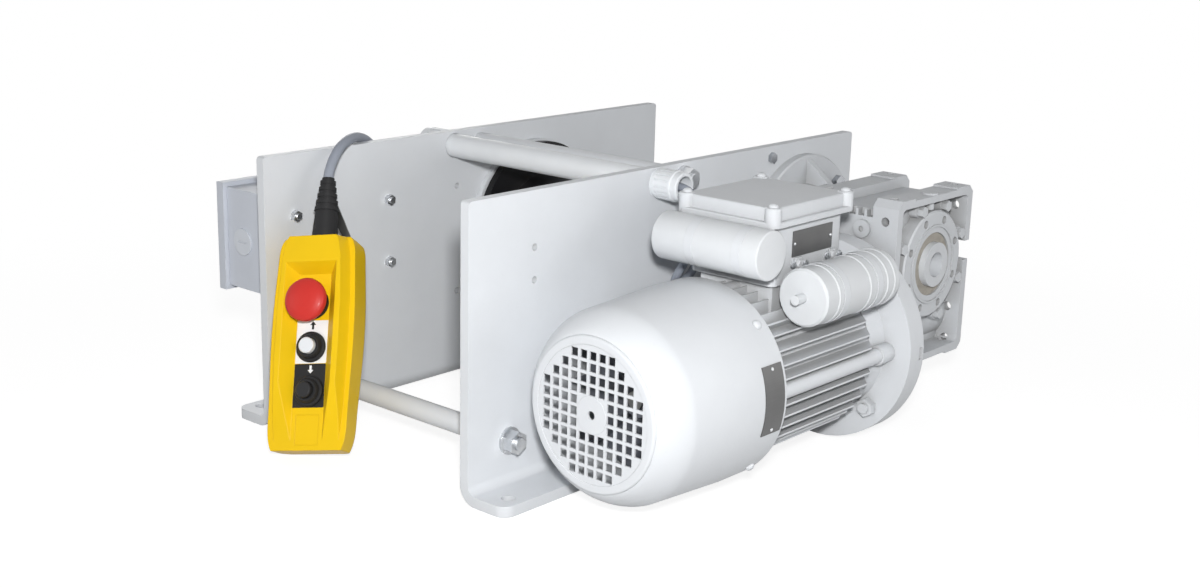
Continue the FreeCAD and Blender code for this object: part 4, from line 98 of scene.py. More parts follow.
# %% The signal class
class Signal:
    """One output socket of a node tree; arithmetic on it adds Math nodes to the same tree."""

    def __init__(self, tree, socket):
        self.tree = tree
        self.socket = socket

    def node(self, kind, settings=None, inputs=None, output=0):
        made = self.tree.nodes.new(kind)
        for name, value in (settings or {}).items():
            if name == "stops":
                set_stops(made.color_ramp, value)
            else:
                setattr(made, name, value)
        for name, value in (inputs or {}).items():
            feed(self.tree, made.inputs[name], value)
        return Signal(self.tree, made.outputs[output])

    def maths(self, operation, first, second):
        return self.node("ShaderNodeMath", {"operation": operation}, {0: first, 1: second})

    def __add__(self, other):
        return self.maths("ADD", self, other)

    def __radd__(self, other):
        return self.maths("ADD", other, self)

    def __sub__(self, other):
        return self.maths("SUBTRACT", self, other)

    def __rsub__(self, other):
        return self.maths("SUBTRACT", other, self)

    def __mul__(self, other):
        return self.maths("MULTIPLY", self, other)

    def __rmul__(self, other):
        return self.maths("MULTIPLY", other, self)

    def __truediv__(self, other):
        return self.maths("DIVIDE", self, other)

    def __rtruediv__(self, other):
        return self.maths("DIVIDE", other, self)


# %% Feeding sockets
def feed(tree, socket, value):
    """Links a signal to a socket, or sets the socket's own value."""
    if isinstance(value, Signal):
        tree.links.new(value.socket, socket)
    else:
        socket.default_value = value


def set_stops(ramp, stops):
    """A ramp's stops as (place, grey) pairs."""
    while len(ramp.elements) < len(stops):
        ramp.elements.new(1.0)
    for element, (place, grey) in zip(ramp.elements, stops):
        element.position = place
        element.color = (grey, grey, grey, 1.0)


# %% [markdown]
# ## What the finishes share
# Paint, metal and plastic start from the same shader, and their patterns sit on Object coordinates, so they
# stay with a piece that moves. Noise, ramps, mixes, softened edges and painted shade in corners come back
# in each finish, so each of them is a short helper here.

# %% Starting a finish
finish_names = []


def new_finish(name):
    """A new material; gives the material, its shader and the Object coordinates as a signal."""
    finish_names.append(name)
    material = bpy.data.materials.new(name)
    material.use_nodes = True
    tree = material.node_tree
    shader = tree.nodes["Principled BSDF"]
    place = tree.nodes.new("ShaderNodeTexCoord")
    return material, shader, Signal(tree, place.outputs["Object"])


def set_sockets(place, shader, inputs):
    """Sets or links a shader's sockets by their names."""
    for name, value in inputs.items():
        feed(place.tree, shader.inputs[name], value)


# %% Patterns and tones
def noise(place, scale, detail=3.0, rough=0.5):
    inputs = {"Vector": place, "Scale": scale, "Detail": detail, "Roughness": rough}
    return place.node("ShaderNodeTexNoise", None, inputs)


def ramp(signal, *stops):
    return signal.node("ShaderNodeValToRGB", {"stops": stops}, {"Fac": signal})


def mix(factor, first, second):
    """One colour fading into another."""
    settings = {"data_type": "RGBA"}
    return factor.node("ShaderNodeMix", settings, {"Factor": factor, 6: first, 7: second}, 2)


def colour(red, green, blue):
    return (red, green, blue, 1.0)


def shade(tone, amount):
    """A tone, darker or lighter by a factor."""
    return colour(*(min(1.0, c * amount) for c in tone[:3]))


# %% Soft edges and painted corner shade
RAY_SAMPLES = 4


def bump(height, rounding, strength=1.0):
    """A normal from a height in metres, on edges that are softened by a rounding radius."""
    soft = height.node("ShaderNodeBevel", {"samples": RAY_SAMPLES}, {"Radius": rounding})
    inputs = {"Height": height, "Strength": strength, "Distance": 1.0, "Normal": soft}
    return height.node("ShaderNodeBump", None, inputs)


def sheltered(place, distance):
    """How open a spot is: 1 in the open, less in corners and gaps."""
    return place.node("ShaderNodeAmbientOcclusion", {"samples": RAY_SAMPLES}, {"Distance": distance}, 1)


print("helpers for finishes are ready")

# %% [markdown]
# ## Sprayed paint
# The plates, the motor and the gearbox wear nearly the same light grey. Real sprayed paint is never one flat
# colour: it is faintly mottled, it has an orange-peel skin, and sharp edges look soft. A painted shade
# darkens its sheltered corners. On castings the sand's grain shows through as well, so one function makes
# both.


# %% Paint
MOTTLE_SCALE = 9.0
SPECK_SCALE = 420.0
PEEL_SCALE = 330.0
SAND_SCALE = 900.0
CORNER_REACH = 0.03
# The colour of the painted shade in sheltered corners.
CORNER_SHADE_TONE = colour(0.17, 0.16, 0.145)
PAINT_ROUNDING = 0.0007


def sprayed(name, tone, roughness, peel, grain=0.0, dust_and_shade=0.12):
    """Sprayed paint; peel is its orange-peel height and grain the casting's, both in metres."""
    material, shader, place = new_finish(name)
    cloud = noise(place, MOTTLE_SCALE, 4.0, 0.6)
    specks = ramp(noise(place, SPECK_SCALE, 2.0), (0.64, 0.0), (0.74, 1.0))
    # Painted shade: sheltered corners, found by ambient occlusion, are darkened towards a dark brown-grey;
    # the same mask roughens them.
    corner_shade = ramp(sheltered(place, CORNER_REACH), (0.25, dust_and_shade), (0.8, 0.0))
    worn = mix(ramp(cloud, (0.35, 0.0), (0.7, 1.0)), shade(tone, 0.965), shade(tone, 1.02))
    corner_shaded = mix(corner_shade, worn, CORNER_SHADE_TONE)
    skin = noise(place, PEEL_SCALE, 2.0) * peel
    if grain:
        skin = skin + noise(place, SAND_SCALE, 3.0, 0.7) * grain
    set_sockets(place, shader, {
        "Base Color": mix(specks * 0.05, corner_shaded, shade(tone, 0.6)),
        "Roughness": cloud * 0.10 + corner_shade * 0.3 + (roughness - 0.05),
        "Specular IOR Level": 0.18,
        "Normal": bump(skin, PAINT_ROUNDING),
    })
    return material


PAPER_GREY = colour(0.735, 0.757, 0.785)
TUBE_GREY = shade(PAPER_GREY, 0.98)
CASTING_GREY = shade(PAPER_GREY, 0.90)
DRUM_BLACK = colour(0.012, 0.012, 0.013)
plate_paint = sprayed("plate_paint", PAPER_GREY, roughness=0.46, peel=0.00004, dust_and_shade=0.2)
tube_paint = sprayed("tube_paint", TUBE_GREY, roughness=0.42, peel=0.00003)
motor_paint = sprayed("motor_paint", PAPER_GREY, roughness=0.42, peel=0.00005, grain=0.00002, dust_and_shade=0.5)
casting_paint = sprayed("casting_paint", CASTING_GREY, roughness=0.48, peel=0.00005, grain=0.00006, dust_and_shade=0.55)
box_paint = sprayed("box_paint", TUBE_GREY, roughness=0.46, peel=0.00004, grain=0.00002, dust_and_shade=0.45)
drum_paint = sprayed("drum_paint", DRUM_BLACK, roughness=0.32, peel=0.00005)
print("paints:", finish_names)

# %% [markdown]
# ## Bare metal
# Zinc-plated fasteners are bright with cloudy grey patches. Machined steel shows the fine lines that the
# tool left, and the rating plates a straight brushed grain. The roughness and a little of the colour change
# over the surface. The iron of the stator and the magnet is dull, so it is made like a painted casting.


# %% Plated metal
PLATING_SCALE = 110.0


def plated(name, tone, roughness):
    """Zinc plate: cloudy, bright, with small dull spots."""
    material, shader, place = new_finish(name)
    cloud = noise(place, PLATING_SCALE)
    dull = ramp(cloud, (0.35, 0.0), (0.75, 1.0))
    set_sockets(place, shader, {
        "Base Color": mix(dull, tone, shade(tone, 0.84)),
        "Roughness": dull * 0.14 + roughness,
        "Metallic": 1.0,
        "Normal": bump(cloud * 0.00002, 0.0005, 0.5),
    })
    return material


# %% Machined and brushed metal
TOOL_MARK_SCALE = 700.0
STEEL_CLOUD_SCALE = 60.0
BRUSH_SCALE = (900.0, 25.0, 900.0)
SHEET_CLOUD_SCALE = 45.0


def machined(name, tone, roughness):
    """Turned steel, with fine tool marks."""
    material, shader, place = new_finish(name)
    lines = place.node("ShaderNodeTexWave", {"wave_type": "RINGS", "rings_direction": "X"},
                       {"Vector": place, "Scale": TOOL_MARK_SCALE, "Distortion": 2.0, "Detail": 2.0}, 1)
    cloud = noise(place, STEEL_CLOUD_SCALE)
    set_sockets(place, shader, {
        "Base Color": mix(cloud, shade(tone, 0.85), shade(tone, 1.1)),
        "Roughness": lines * 0.12 + roughness,
        "Metallic": 1.0,
        "Normal": bump(lines * 0.00001, 0.0004, 0.6),
    })
    return material


def brushed(name, tone, roughness):
    """Flat sheet metal with a straight grain along Y."""
    material, shader, place = new_finish(name)
    drawn = place.node("ShaderNodeMapping", None, {"Vector": place, "Scale": BRUSH_SCALE})
    grain = noise(drawn, 1.0, 2.0, 0.6)
    streaks = grain * 0.6 + noise(place, SHEET_CLOUD_SCALE) * 0.4
    set_sockets(place, shader, {
        "Base Color": mix(streaks, shade(tone, 0.75), shade(tone, 1.2)),
        "Roughness": grain * 0.18 + roughness,
        "Metallic": 0.85,
        "Normal": bump(grain * 0.000015, 0.0003),
    })
    return material


# %% The metals
zinc = plated("zinc", colour(0.70, 0.715, 0.735), roughness=0.26)
bright_zinc = plated("bright_zinc", colour(0.47, 0.485, 0.51), roughness=0.16)
black_steel = plated("black_steel", colour(0.16, 0.16, 0.155), roughness=0.34)
steel = machined("steel", colour(0.42, 0.42, 0.41), roughness=0.30)
plate_metal = brushed("plate_metal", colour(0.15, 0.15, 0.15), roughness=0.36)
iron = sprayed("iron", colour(0.10, 0.095, 0.09), roughness=0.6, peel=0.00004, grain=0.00008)
print("finishes with the metals:", len(finish_names))

# %% [markdown]
# ## The worm wheel and its seal
# Only the end of the wheel's hollow hub shows outside, and it was sprayed with the housing. The toothed rim
# inside is bronze. One mask, the distance from the output axis, tells them apart. The rubber seal round the
# hub has caught oil and dust, so it is a dull, mottled brown with fine rings.

# %% The wheel
OUTPUT_AXIS = (0.0, 0.195, 0.166)
BRONZE_FROM = 0.038


def from_output_axis(place):
    """Distance of a spot from the output axis, which runs along X."""
    flat = place.node("ShaderNodeVectorMath", {"operation": "MULTIPLY"}, {0: place, 1: (0.0, 1.0, 1.0)})
    return place.node("ShaderNodeVectorMath", {"operation": "DISTANCE"}, {0: flat, 1: OUTPUT_AXIS}, 1)


def wheel_finish():
    material, shader, place = new_finish("wheel_bronze")
    radius = from_output_axis(place)
    rim = radius.maths("GREATER_THAN", radius, BRONZE_FROM)
    cloud = noise(place, 80.0)
    bronze = mix(cloud, colour(0.44, 0.28, 0.11), colour(0.60, 0.41, 0.18))
    hub = mix(cloud, shade(PAPER_GREY, 0.80), shade(PAPER_GREY, 0.92))
    set_sockets(place, shader, {
        "Base Color": mix(rim, hub, bronze),
        "Metallic": rim,
        "Roughness": cloud * 0.1 + 0.38,
        "Normal": bump(noise(place, 500.0) * 0.00004, 0.0006),
    })
    return material


# %% The seal
RINGS_PER_METRE = 3600.0


def seal_finish():
    material, shader, place = new_finish("seal_rubber")
    cloud = noise(place, 140.0, 4.0, 0.65)
    dust_and_shade = ramp(cloud, (0.3, 0.35), (0.7, 1.0))
    radius = from_output_axis(place)
    rings = place.node("ShaderNodeMath", {"operation": "SINE"}, {0: radius * RINGS_PER_METRE})
    set_sockets(place, shader, {
        "Base Color": mix(dust_and_shade, colour(0.24, 0.22, 0.19), colour(0.46, 0.43, 0.38)),
        "Roughness": dust_and_shade * 0.25 + 0.55,
        "Normal": bump(rings * 0.00008 + cloud * 0.00008, 0.0004),
    })
    return material


wheel_bronze = wheel_finish()
seal_rubber = seal_finish()
print("reducer finishes:", wheel_bronze.name, seal_rubber.name)

# %% [markdown]
# ## Plastic and rubber
# Moulded plastic takes its skin from the mould: a fine even grain on the control box, an almost smooth
# one on the pendant and the buttons. Rubber is rougher. All have pale scuffs here and there, and a painted
# shade darkens their seams and corners.


# %% Moulded plastic
TINT_SCALE = 30.0
SCUFF_SCALE = 180.0
SCUFF_TONE = colour(0.55, 0.53, 0.50)
# How far from a seam or corner the painted shade reaches.
SEAM_SHADE_REACH = 0.012


def moulded(name, tone, roughness, grain_scale, grain, coat=0.0, rounding=0.0006, scuff=0.10):
    """Moulded plastic or rubber with the mould's own grain, in metres."""
    material, shader, place = new_finish(name)
    cloud = noise(place, TINT_SCALE)
    cells = place.node("ShaderNodeTexVoronoi", {"feature": "F1"}, {"Vector": place, "Scale": grain_scale})
    scuffs = ramp(noise(place, SCUFF_SCALE, 5.0, 0.75), (0.63, 0.0), (0.78, 1.0))
    # Painted shade: seams and corners, found by ambient occlusion, are darkened to under half the tone.
    corner_shade = ramp(sheltered(place, SEAM_SHADE_REACH), (0.2, 0.35), (0.7, 0.0))
    base = mix(cloud, shade(tone, 0.94), shade(tone, 1.05))
    scuffed = mix(scuffs * scuff, base, SCUFF_TONE)
    set_sockets(place, shader, {
        "Base Color": mix(corner_shade, scuffed, shade(tone, 0.45)),
        "Roughness": scuffs * 0.12 + roughness,
        "Specular IOR Level": 0.22,
        "Coat Weight": coat,
        "Coat Roughness": 0.18,
        "Normal": bump(cells * grain, rounding),
    })
    return material


# %% The plastics
pendant_yellow = moulded("pendant_yellow", colour(0.88, 0.565, 0.006), 0.42, 1500.0, 0.00004,
                         rounding=0.0012, scuff=0.03)
stop_red = moulded("stop_red", colour(0.62, 0.036, 0.028), 0.42, 1500.0, 0.00003,
                   coat=0.05, rounding=0.0008, scuff=0.04)
black_rubber = moulded("black_rubber", colour(0.018, 0.018, 0.019), 0.55, 1300.0, 0.00006)
black_plastic = moulded("black_plastic", colour(0.022, 0.022, 0.023), 0.42, 1600.0, 0.00003)
white_plastic = moulded("white_plastic", colour(0.80, 0.825, 0.85), 0.38, 1600.0, 0.00003, coat=0.1)
legend_white = moulded("legend_white", colour(0.90, 0.91, 0.92), 0.50, 2500.0, 0.00001)
legend_black = moulded("legend_black", colour(0.016, 0.016, 0.017), 0.50, 2500.0, 0.00001)
control_grey = moulded("control_grey", colour(0.60, 0.63, 0.69), 0.50, 900.0, 0.00006)
blank_grey = moulded("blank_grey", colour(0.65, 0.68, 0.73), 0.45, 900.0, 0.00003)
can_grey = moulded("can_grey", colour(0.71, 0.73, 0.75), 0.42, 1200.0, 0.00003, coat=0.05)
sheath_grey = moulded("sheath_grey", colour(0.31, 0.335, 0.39), 0.52, 1100.0, 0.00004)
fan_grey = moulded("fan_grey", colour(0.20, 0.21, 0.24), 0.45, 1500.0, 0.00003)
tie_black = moulded("tie_black", colour(0.02, 0.02, 0.021), 0.45, 1500.0, 0.00003)
print("finishes with the plastics:", len(finish_names))

# %% [markdown]
# ## Dressing the machined pieces
# Each piece that is not replaced further down gets one finish. The triangles of a machined piece share no
# corners, so a Weld modifier joins them. Smooth faces then shade as round, and an Edge Split keeps the edges.

# %% Which piece wears which finish
DRESS = {
    plate_paint: ["near_side_plate", "far_side_plate", "drum_ring"],
    tube_paint: ["spacers"],
    zinc: ["tie_rods", "tie_washers", "tie_nuts", "control_box_bolts"],
    bright_zinc: ["frame_bolts"],
    white_plastic: ["conduit_tube", "conduit_fittings", "up_button"],
    drum_paint: ["drum"],
    steel: ["drum_gear", "drum_bearings", "drum_axle", "pinion_shaft", "worm", "gearbox_bearings",
            "motor_bearings", "rotor", "brake_disc"],
    wheel_bronze: ["worm_wheel"],
    seal_rubber: ["gearbox_seals"],
    casting_paint: ["gearbox_housing", "gearbox_cover", "gearbox_cover_bolts", "output_flange",
                    "gearbox_plugs"],
    motor_paint: ["motor_frame", "drive_end_shield", "rear_end_shield", "input_flange",
                  "motor_flange_bolts"],
    box_paint: ["terminal_box", "capacitor_clamps"],
    iron: ["stator", "brake_magnet"],
    can_grey: ["start_capacitor"],
    plate_metal: ["rating_plates"],
    control_grey: ["control_box", "control_box_lid", "cord_gland"],
    blank_grey: ["control_box_blank"],
    pendant_yellow: ["pendant_front", "pendant_back"],
    stop_red: ["estop_head"],
    black_rubber: ["pendant_boot", "pendant_bezels"],
    black_plastic: ["down_button", "estop_stem"],
    fan_grey: ["fan"],
    black_steel: ["pendant_hanger"],
}

# %% Dressing
EDGE_ANGLE = math.radians(32)
SAME_PLACE = 0.00002


def dress(piece, finish):
    """One finish on a piece, with smooth shading between its real edges."""
    piece.data.materials.clear()
    piece.data.materials.append(finish)
    piece.data.shade_smooth()
    weld = piece.modifiers.new("join_corners", "WELD")
    weld.merge_threshold = SAME_PLACE
    split = piece.modifiers.new("keep_edges", "EDGE_SPLIT")
    split.split_angle = EDGE_ANGLE


for finish, names in DRESS.items():
    for name in names:
        dress(nodes[name], finish)
print("dressed", sum(len(names) for names in DRESS.values()), "pieces")

# %% [markdown]
# ## Pressed and turned shells
# The fan cowl, the run capacitor's can and the terminal box's lid take their soft forms here. The cowl is
# spun from sheet: it narrows a little, rounds over a wide shoulder, and carries a raised face with a sunken
# grille. A profile turned about an axis gives such a form, and a profile that returns to its start gives
# the sheet its thickness.

# %% Turning a profile
AROUND = 128
UP = Vector((0.0, 0.0, 1.0))


def skinned(mesh, rings, closed):
    """Faces between rings of corners; a closed skin returns to its first ring, an open one gets end caps."""
    count = len(rings[0])
    for here, there in zip(rings, rings[1:] + rings[:1] if closed else rings[1:]):
        for k in range(count):
            mesh.faces.new((here[k - 1], here[k], there[k], there[k - 1]))
    if not closed:
        mesh.faces.new(rings[0])
        mesh.faces.new(rings[-1])


def turned(mesh, profile, middle, axis, closed):
    """A profile, pairs of a distance along an axis and a radius, turned about that axis."""
    across = axis.cross(UP)
    angles = [2 * math.pi * k / AROUND for k in range(AROUND)]
    ways = [UP * math.cos(a) + across * math.sin(a) for a in angles]
    rings = []
    for along, radius in profile:
        centre = middle + axis * along
        rings.append([mesh.verts.new(centre + way * radius) for way in ways])
    skinned(mesh, rings, closed)


# %% Rounded edges
def quarter(steps):
    """The angles of a quarter turn, in even steps."""
    return [math.pi / 2 * step / steps for step in range(steps + 1)]


def round_edge(radius, rounding, steps):
    """A quarter round from a side to a face, as pairs of a depth below the face and a radius."""
    return [(rounding * (1.0 - math.sin(a)), radius - rounding * (1.0 - math.cos(a))) for a in quarter(steps)]


# %% From a mesh to a piece
def as_piece(name, mesh, finish, smooth):
    """A mesh under construction, made a piece that rides on the frame."""
    bmesh.ops.recalc_face_normals(mesh, faces=mesh.faces)
    data = bpy.data.meshes.new(name)
    mesh.to_mesh(data)
    mesh.free()
    piece = bpy.data.objects.new(name, data)
    scene.collection.objects.link(piece)
    if smooth:
        dress(piece, finish)
    else:
        data.materials.append(finish)
    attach(piece, "frame")
    print(name, "faces:", len(data.polygons))
    return piece


# %% The cowl's sizes
MOTOR_AXIS = Vector((0.256, 0.0, 0.103))
ALONG_Y = Vector((0.0, 1.0, 0.0))
COWL_WALL = 0.0018
COWL_REAR = -0.107
COWL_RADIUS = 0.0908
TAPER_FROM = -0.140
SHOULDER_RADIUS = 0.0864
SHOULDER_DEPTH = 0.0305
SHOULDER_POWER = 1.40
SHOULDER_STEPS = 16
RIM_RADIUS = 0.0680
RIM_FOOT = -0.2551
RIM_ROUND = 0.0024
RIM_STEPS = 6
FACE = -0.2580
GRILLE_RADIUS = 0.0602
GRILLE_SINK = 0.0009
SEAT_SLOPE = 0.0004
HUB_RADIUS = 0.0165
HUB_RISE = 0.0005
HUB_SLOPE_DEPTH = 0.0002
HUB_SLOPE_WIDTH = 0.0003
EYE_RADIUS = 0.0038


# %% The cowl's section
def shoulder(inset):
    """The cowl's shoulder from its tapered side to the rim's foot, moved inwards by an inset."""
    places = []
    for angle in quarter(SHOULDER_STEPS):
        side = math.cos(angle) ** SHOULDER_POWER
        ahead = math.sin(angle) ** SHOULDER_POWER
        radius = RIM_RADIUS - inset + (SHOULDER_RADIUS - RIM_RADIUS) * side
        places.append((RIM_FOOT + inset + SHOULDER_DEPTH * (1.0 - ahead), radius))
    return places


def cowl_profile():
    """The sheet's section: out from the open edge to the grille's seat, and back along the inside."""
    rim = [(FACE + depth, radius) for depth, radius in round_edge(RIM_RADIUS, RIM_ROUND, RIM_STEPS)]
    floor = FACE + GRILLE_SINK + COWL_WALL
    outside = [(COWL_REAR, COWL_RADIUS), (TAPER_FROM, COWL_RADIUS)] + shoulder(0.0) + rim
    seat = [(FACE, GRILLE_RADIUS + SEAT_SLOPE), (FACE + SEAT_SLOPE, GRILLE_RADIUS), (floor, GRILLE_RADIUS)]
    inside = [(floor, RIM_RADIUS - 2 * COWL_WALL)] + shoulder(COWL_WALL)[::-1]
    inside += [(TAPER_FROM, COWL_RADIUS - COWL_WALL), (COWL_REAR, COWL_RADIUS - COWL_WALL)]
    return outside + seat + inside


# %% Fan cowl
def cowl_shell():
    """The cowl with the closed hub in the middle of its grille."""
    mesh = bmesh.new()
    turned(mesh, cowl_profile(), MOTOR_AXIS, ALONG_Y, True)
    front = FACE + GRILLE_SINK - HUB_RISE
    back = FACE + GRILLE_SINK + COWL_WALL / 2
    hub = [(front + HUB_SLOPE_DEPTH, HUB_RADIUS), (front, HUB_RADIUS - HUB_SLOPE_WIDTH), (front, EYE_RADIUS),
           (back, EYE_RADIUS), (back, HUB_RADIUS)]
    turned(mesh, hub, MOTOR_AXIS, ALONG_Y, True)
    return as_piece("fan_cowl_shell", mesh, motor_paint, True)


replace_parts(cowl_shell(), "fan_cowl")

# %% [markdown]
# ### The capacitor's can
# A plain moulded can with soft rims, so it is a short profile turned about X. Its clamp bands are machined
# pieces of the frame. The can fills them almost to their outer face, so they stand out only a little.

# %% Run capacitor
CAN_RADIUS = 0.0223
CAN_ROUND = 0.0016
CAN_STEPS = 5
ALONG_X = Vector((1.0, 0.0, 0.0))


def run_can():
    mesh = bmesh.new()
    low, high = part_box("run_capacitor")
    middle = Vector((0.0, (low[1] + high[1]) / 2, (low[2] + high[2]) / 2))
    edge = round_edge(CAN_RADIUS, CAN_ROUND, CAN_STEPS)
    ends = [(low[0] + depth, radius) for depth, radius in edge[::-1]]
    ends += [(high[0] - depth, radius) for depth, radius in edge]
    turned(mesh, ends, middle, ALONG_X, False)
    return as_piece("run_can", mesh, can_grey, True)


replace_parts(run_can(), "run_capacitor")

# %% [markdown]
# ### The terminal box's lid
# A moulded lid: a low skirt, a crown set back from it, and a round post at each corner for its screw. Each
# is an outline raised from one level to another, with a small slope at its top edge.

# %% The lid's sizes
LID_HALF_X = 0.0550
LID_HALF_Y = 0.0640
LID_X = 0.2555
LID_Y = -0.0225
LID_POST_RADIUS = 0.0075
LID_STEP = 0.0050
LID_SKIRT = 0.0050
LID_SOFT = 0.0010
LID_STEPS = 8
LID_RISE = 0.0170
POST_RISE = 0.0180
CORNER_ROOM = 0.00001
LID_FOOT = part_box("terminal_box_lid")[0][2]
POST_TOP = LID_FOOT + POST_RISE
LID_POSTS = [(LID_X + x * (LID_HALF_X - LID_POST_RADIUS), LID_Y + y * (LID_HALF_Y - LID_POST_RADIUS))
             for x in (-1, 1) for y in (-1, 1)]


# %% Blocks with round corners
def rounded_outline(low, high, corner, steps):
    """Places round a rectangle with round corners, from its lower left to its upper right."""
    left = low[0] + corner
    right = high[0] - corner
    bottom = low[1] + corner
    top = high[1] - corner
    places = []
    for x, y, start in ((right, top, 0), (left, top, 90), (left, bottom, 180), (right, bottom, 270)):
        for step in range(steps + 1):
            angle = math.radians(start + 90 * step / steps)
            places.append((x + corner * math.cos(angle), y + corner * math.sin(angle)))
    return places


def soft_block(mesh, middle, half_x, half_y, corner, low, high):
    """A closed block with round corners, from one level to another; its top edge slopes in a little."""
    rings = []
    for inset, level in ((0.0, low), (0.0, high - LID_SOFT), (LID_SOFT, high)):
        x = half_x - inset
        y = half_y - inset
        outline = rounded_outline((-x, -y), (x, y), corner - inset, LID_STEPS)
        rings.append([mesh.verts.new((middle[0] + a, middle[1] + b, level)) for a, b in outline])
    skinned(mesh, rings, False)


# %% Lid
def lid():
    mesh = bmesh.new()
    middle = (LID_X, LID_Y)
    soft_block(mesh, middle, LID_HALF_X, LID_HALF_Y, LID_POST_RADIUS, LID_FOOT, LID_FOOT + LID_SKIRT)
    soft_block(mesh, middle, LID_HALF_X - LID_STEP, LID_HALF_Y - LID_STEP, LID_STEP, LID_FOOT,
               LID_FOOT + LID_RISE)
    half = LID_POST_RADIUS
    for post in LID_POSTS:
        soft_block(mesh, post, half, half, half - CORNER_ROOM, LID_FOOT, POST_TOP)
    return as_piece("terminal_lid", mesh, box_paint, True)


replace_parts(lid(), "terminal_box_lid")

# %% [markdown]
# ## The pendant's cord
# The cord leaves the gland under the control box, lies in a tied coil behind the far plate, climbs over the
# plate's top edge and ends in the pendant's boot. A NURBS spline of order 3 stays close to its points, so a
# short list of places gives one smooth, slack line. The coil's turns are more points of it.

# %% The route of the cord
CORD_DIAMETER = 0.010
BOX_RUN = [(-0.2040, -0.1400, 0.1010), (-0.2040, -0.1400, 0.0770), (-0.2060, -0.1280, 0.0520),
           (-0.2145, -0.1040, 0.0280), (-0.2290, -0.0800, 0.0105), (-0.2470, -0.0600, 0.0058),
           (-0.2680, -0.0470, 0.0055), (-0.2934, -0.0344, 0.0055)]
PENDANT_RUN = [(-0.2100, 0.0130, 0.0246), (-0.2135, -0.0090, 0.0280), (-0.2160, -0.0330, 0.0445),
               (-0.2145, -0.0530, 0.0800), (-0.2100, -0.0700, 0.1220), (-0.2020, -0.0850, 0.1650),
               (-0.1910, -0.0970, 0.2040), (-0.1770, -0.1100, 0.2380), (-0.1630, -0.1320, 0.2625),
               (-0.1480, -0.1600, 0.2747), (-0.1310, -0.1870, 0.2778), (-0.1200, -0.2110, 0.2715),
               (-0.1133, -0.2282, 0.2530), (-0.1110, -0.2308, 0.2460)]
COIL_CENTRE = Vector((-0.268, 0.020, 0.0))
COIL_RADIUS = 0.060
COIL_FIRST_ANGLE = math.radians(-115)
FULL_TURNS = 3
COIL_LAST_ANGLE = math.radians(-6 - 360 * FULL_TURNS)
COIL_STEPS = 40
COIL_SWEEP = COIL_LAST_ANGLE - COIL_FIRST_ANGLE
CORD_SIDES = 5
CORD_STEPS = 10


# %% The turns of the coil
def coil_level(part):
    """The coil's height where a part of its sweep, from 0 to 1, is done."""
    low = BOX_RUN[-1][2]
    return low + (PENDANT_RUN[0][2] - low) * part


def coil_points():
    """The tied coil, from the floor up, as points a little outside the line that the cord takes."""
    reach = COIL_RADIUS / math.cos(COIL_SWEEP / COIL_STEPS / 2)
    points = []
    for step in range(1, COIL_STEPS):
        part = step / COIL_STEPS
        angle = COIL_FIRST_ANGLE + COIL_SWEEP * part
        place = Vector((reach * math.cos(angle), reach * math.sin(angle), coil_level(part)))
        points.append(COIL_CENTRE + place)
    return points


# %% Laying the cord
def smooth_line(name, points, diameter, finish):
    """A round cord along one NURBS spline that has these points as its control points."""
    curve = bpy.data.curves.new(name, "CURVE")
    curve.dimensions = "3D"
    curve.bevel_depth = diameter / 2
    curve.bevel_resolution = CORD_SIDES
    curve.resolution_u = CORD_STEPS
    curve.use_fill_caps = True
    spline = curve.splines.new("NURBS")
    spline.points.add(len(points) - 1)
    for point, place in zip(spline.points, points):
        point.co = (*place, 1.0)
    spline.use_endpoint_u = True
    spline.order_u = 3
    curve.materials.append(finish)
    line = bpy.data.objects.new(name, curve)
    scene.collection.objects.link(line)
    return line


cord_route = [Vector(p) for p in BOX_RUN] + coil_points() + [Vector(p) for p in PENDANT_RUN]
pendant_cord = smooth_line("pendant_cord", cord_route, CORD_DIAMETER, sheath_grey)
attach(pendant_cord, "frame")
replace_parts(pendant_cord, "cord_lead", "cord_coil")
print("cord points:", len(cord_route))

# %% [markdown]
# ## The motor's cable
# The motor is fed from the control box through the white conduit. Its thinner cable hangs in two short
# bows, one at each end of the conduit, so it is the same kind of line with its own list of places.

# %% The route of the motor's cable
MOTOR_CABLE_DIAMETER = 0.008
MOTOR_CABLE_RUN = [(-0.1825, -0.1190, 0.1770), (-0.1825, -0.0850, 0.1770), (-0.1900, -0.0600, 0.1960),
                   (-0.1970, -0.0500, 0.2140), (-0.1930, -0.0450, 0.2340), (-0.1810, -0.0425, 0.2490),
                   (-0.1630, -0.0425, 0.2550), (-0.1400, -0.0425, 0.2550), (-0.0960, -0.0425, 0.2535),
                   (-0.0480, -0.0425, 0.2555), (0.0, -0.0425, 0.2535), (0.0480, -0.0425, 0.2555),
                   (0.0960, -0.0425, 0.2535), (0.1500, -0.0425, 0.2550), (0.1840, -0.0425, 0.2550),
                   (0.2030, -0.0460, 0.2300), (0.1960, -0.0580, 0.1960), (0.1760, -0.0540, 0.1680),
                   (0.1600, -0.0305, 0.1545), (0.1560, 0.0015, 0.1625), (0.1580, 0.0115, 0.1885),
                   (0.1760, 0.0035, 0.2155), (0.2050, 0.0035, 0.2155)]
motor_lead = smooth_line("motor_lead", MOTOR_CABLE_RUN, MOTOR_CABLE_DIAMETER, sheath_grey)
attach(motor_lead, "frame")
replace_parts(motor_lead, "motor_cable")
print("motor cable points:", len(MOTOR_CABLE_RUN))

# %% [markdown]
# ## Ties on the coil
# Two plastic ties hold the spare turns together. A tie is a thin band that follows a rounded rectangle round
# the stacked turns, with a small square lock on its outer side. Band and lock are each built as one ring of
# four-sided slices between two outlines.

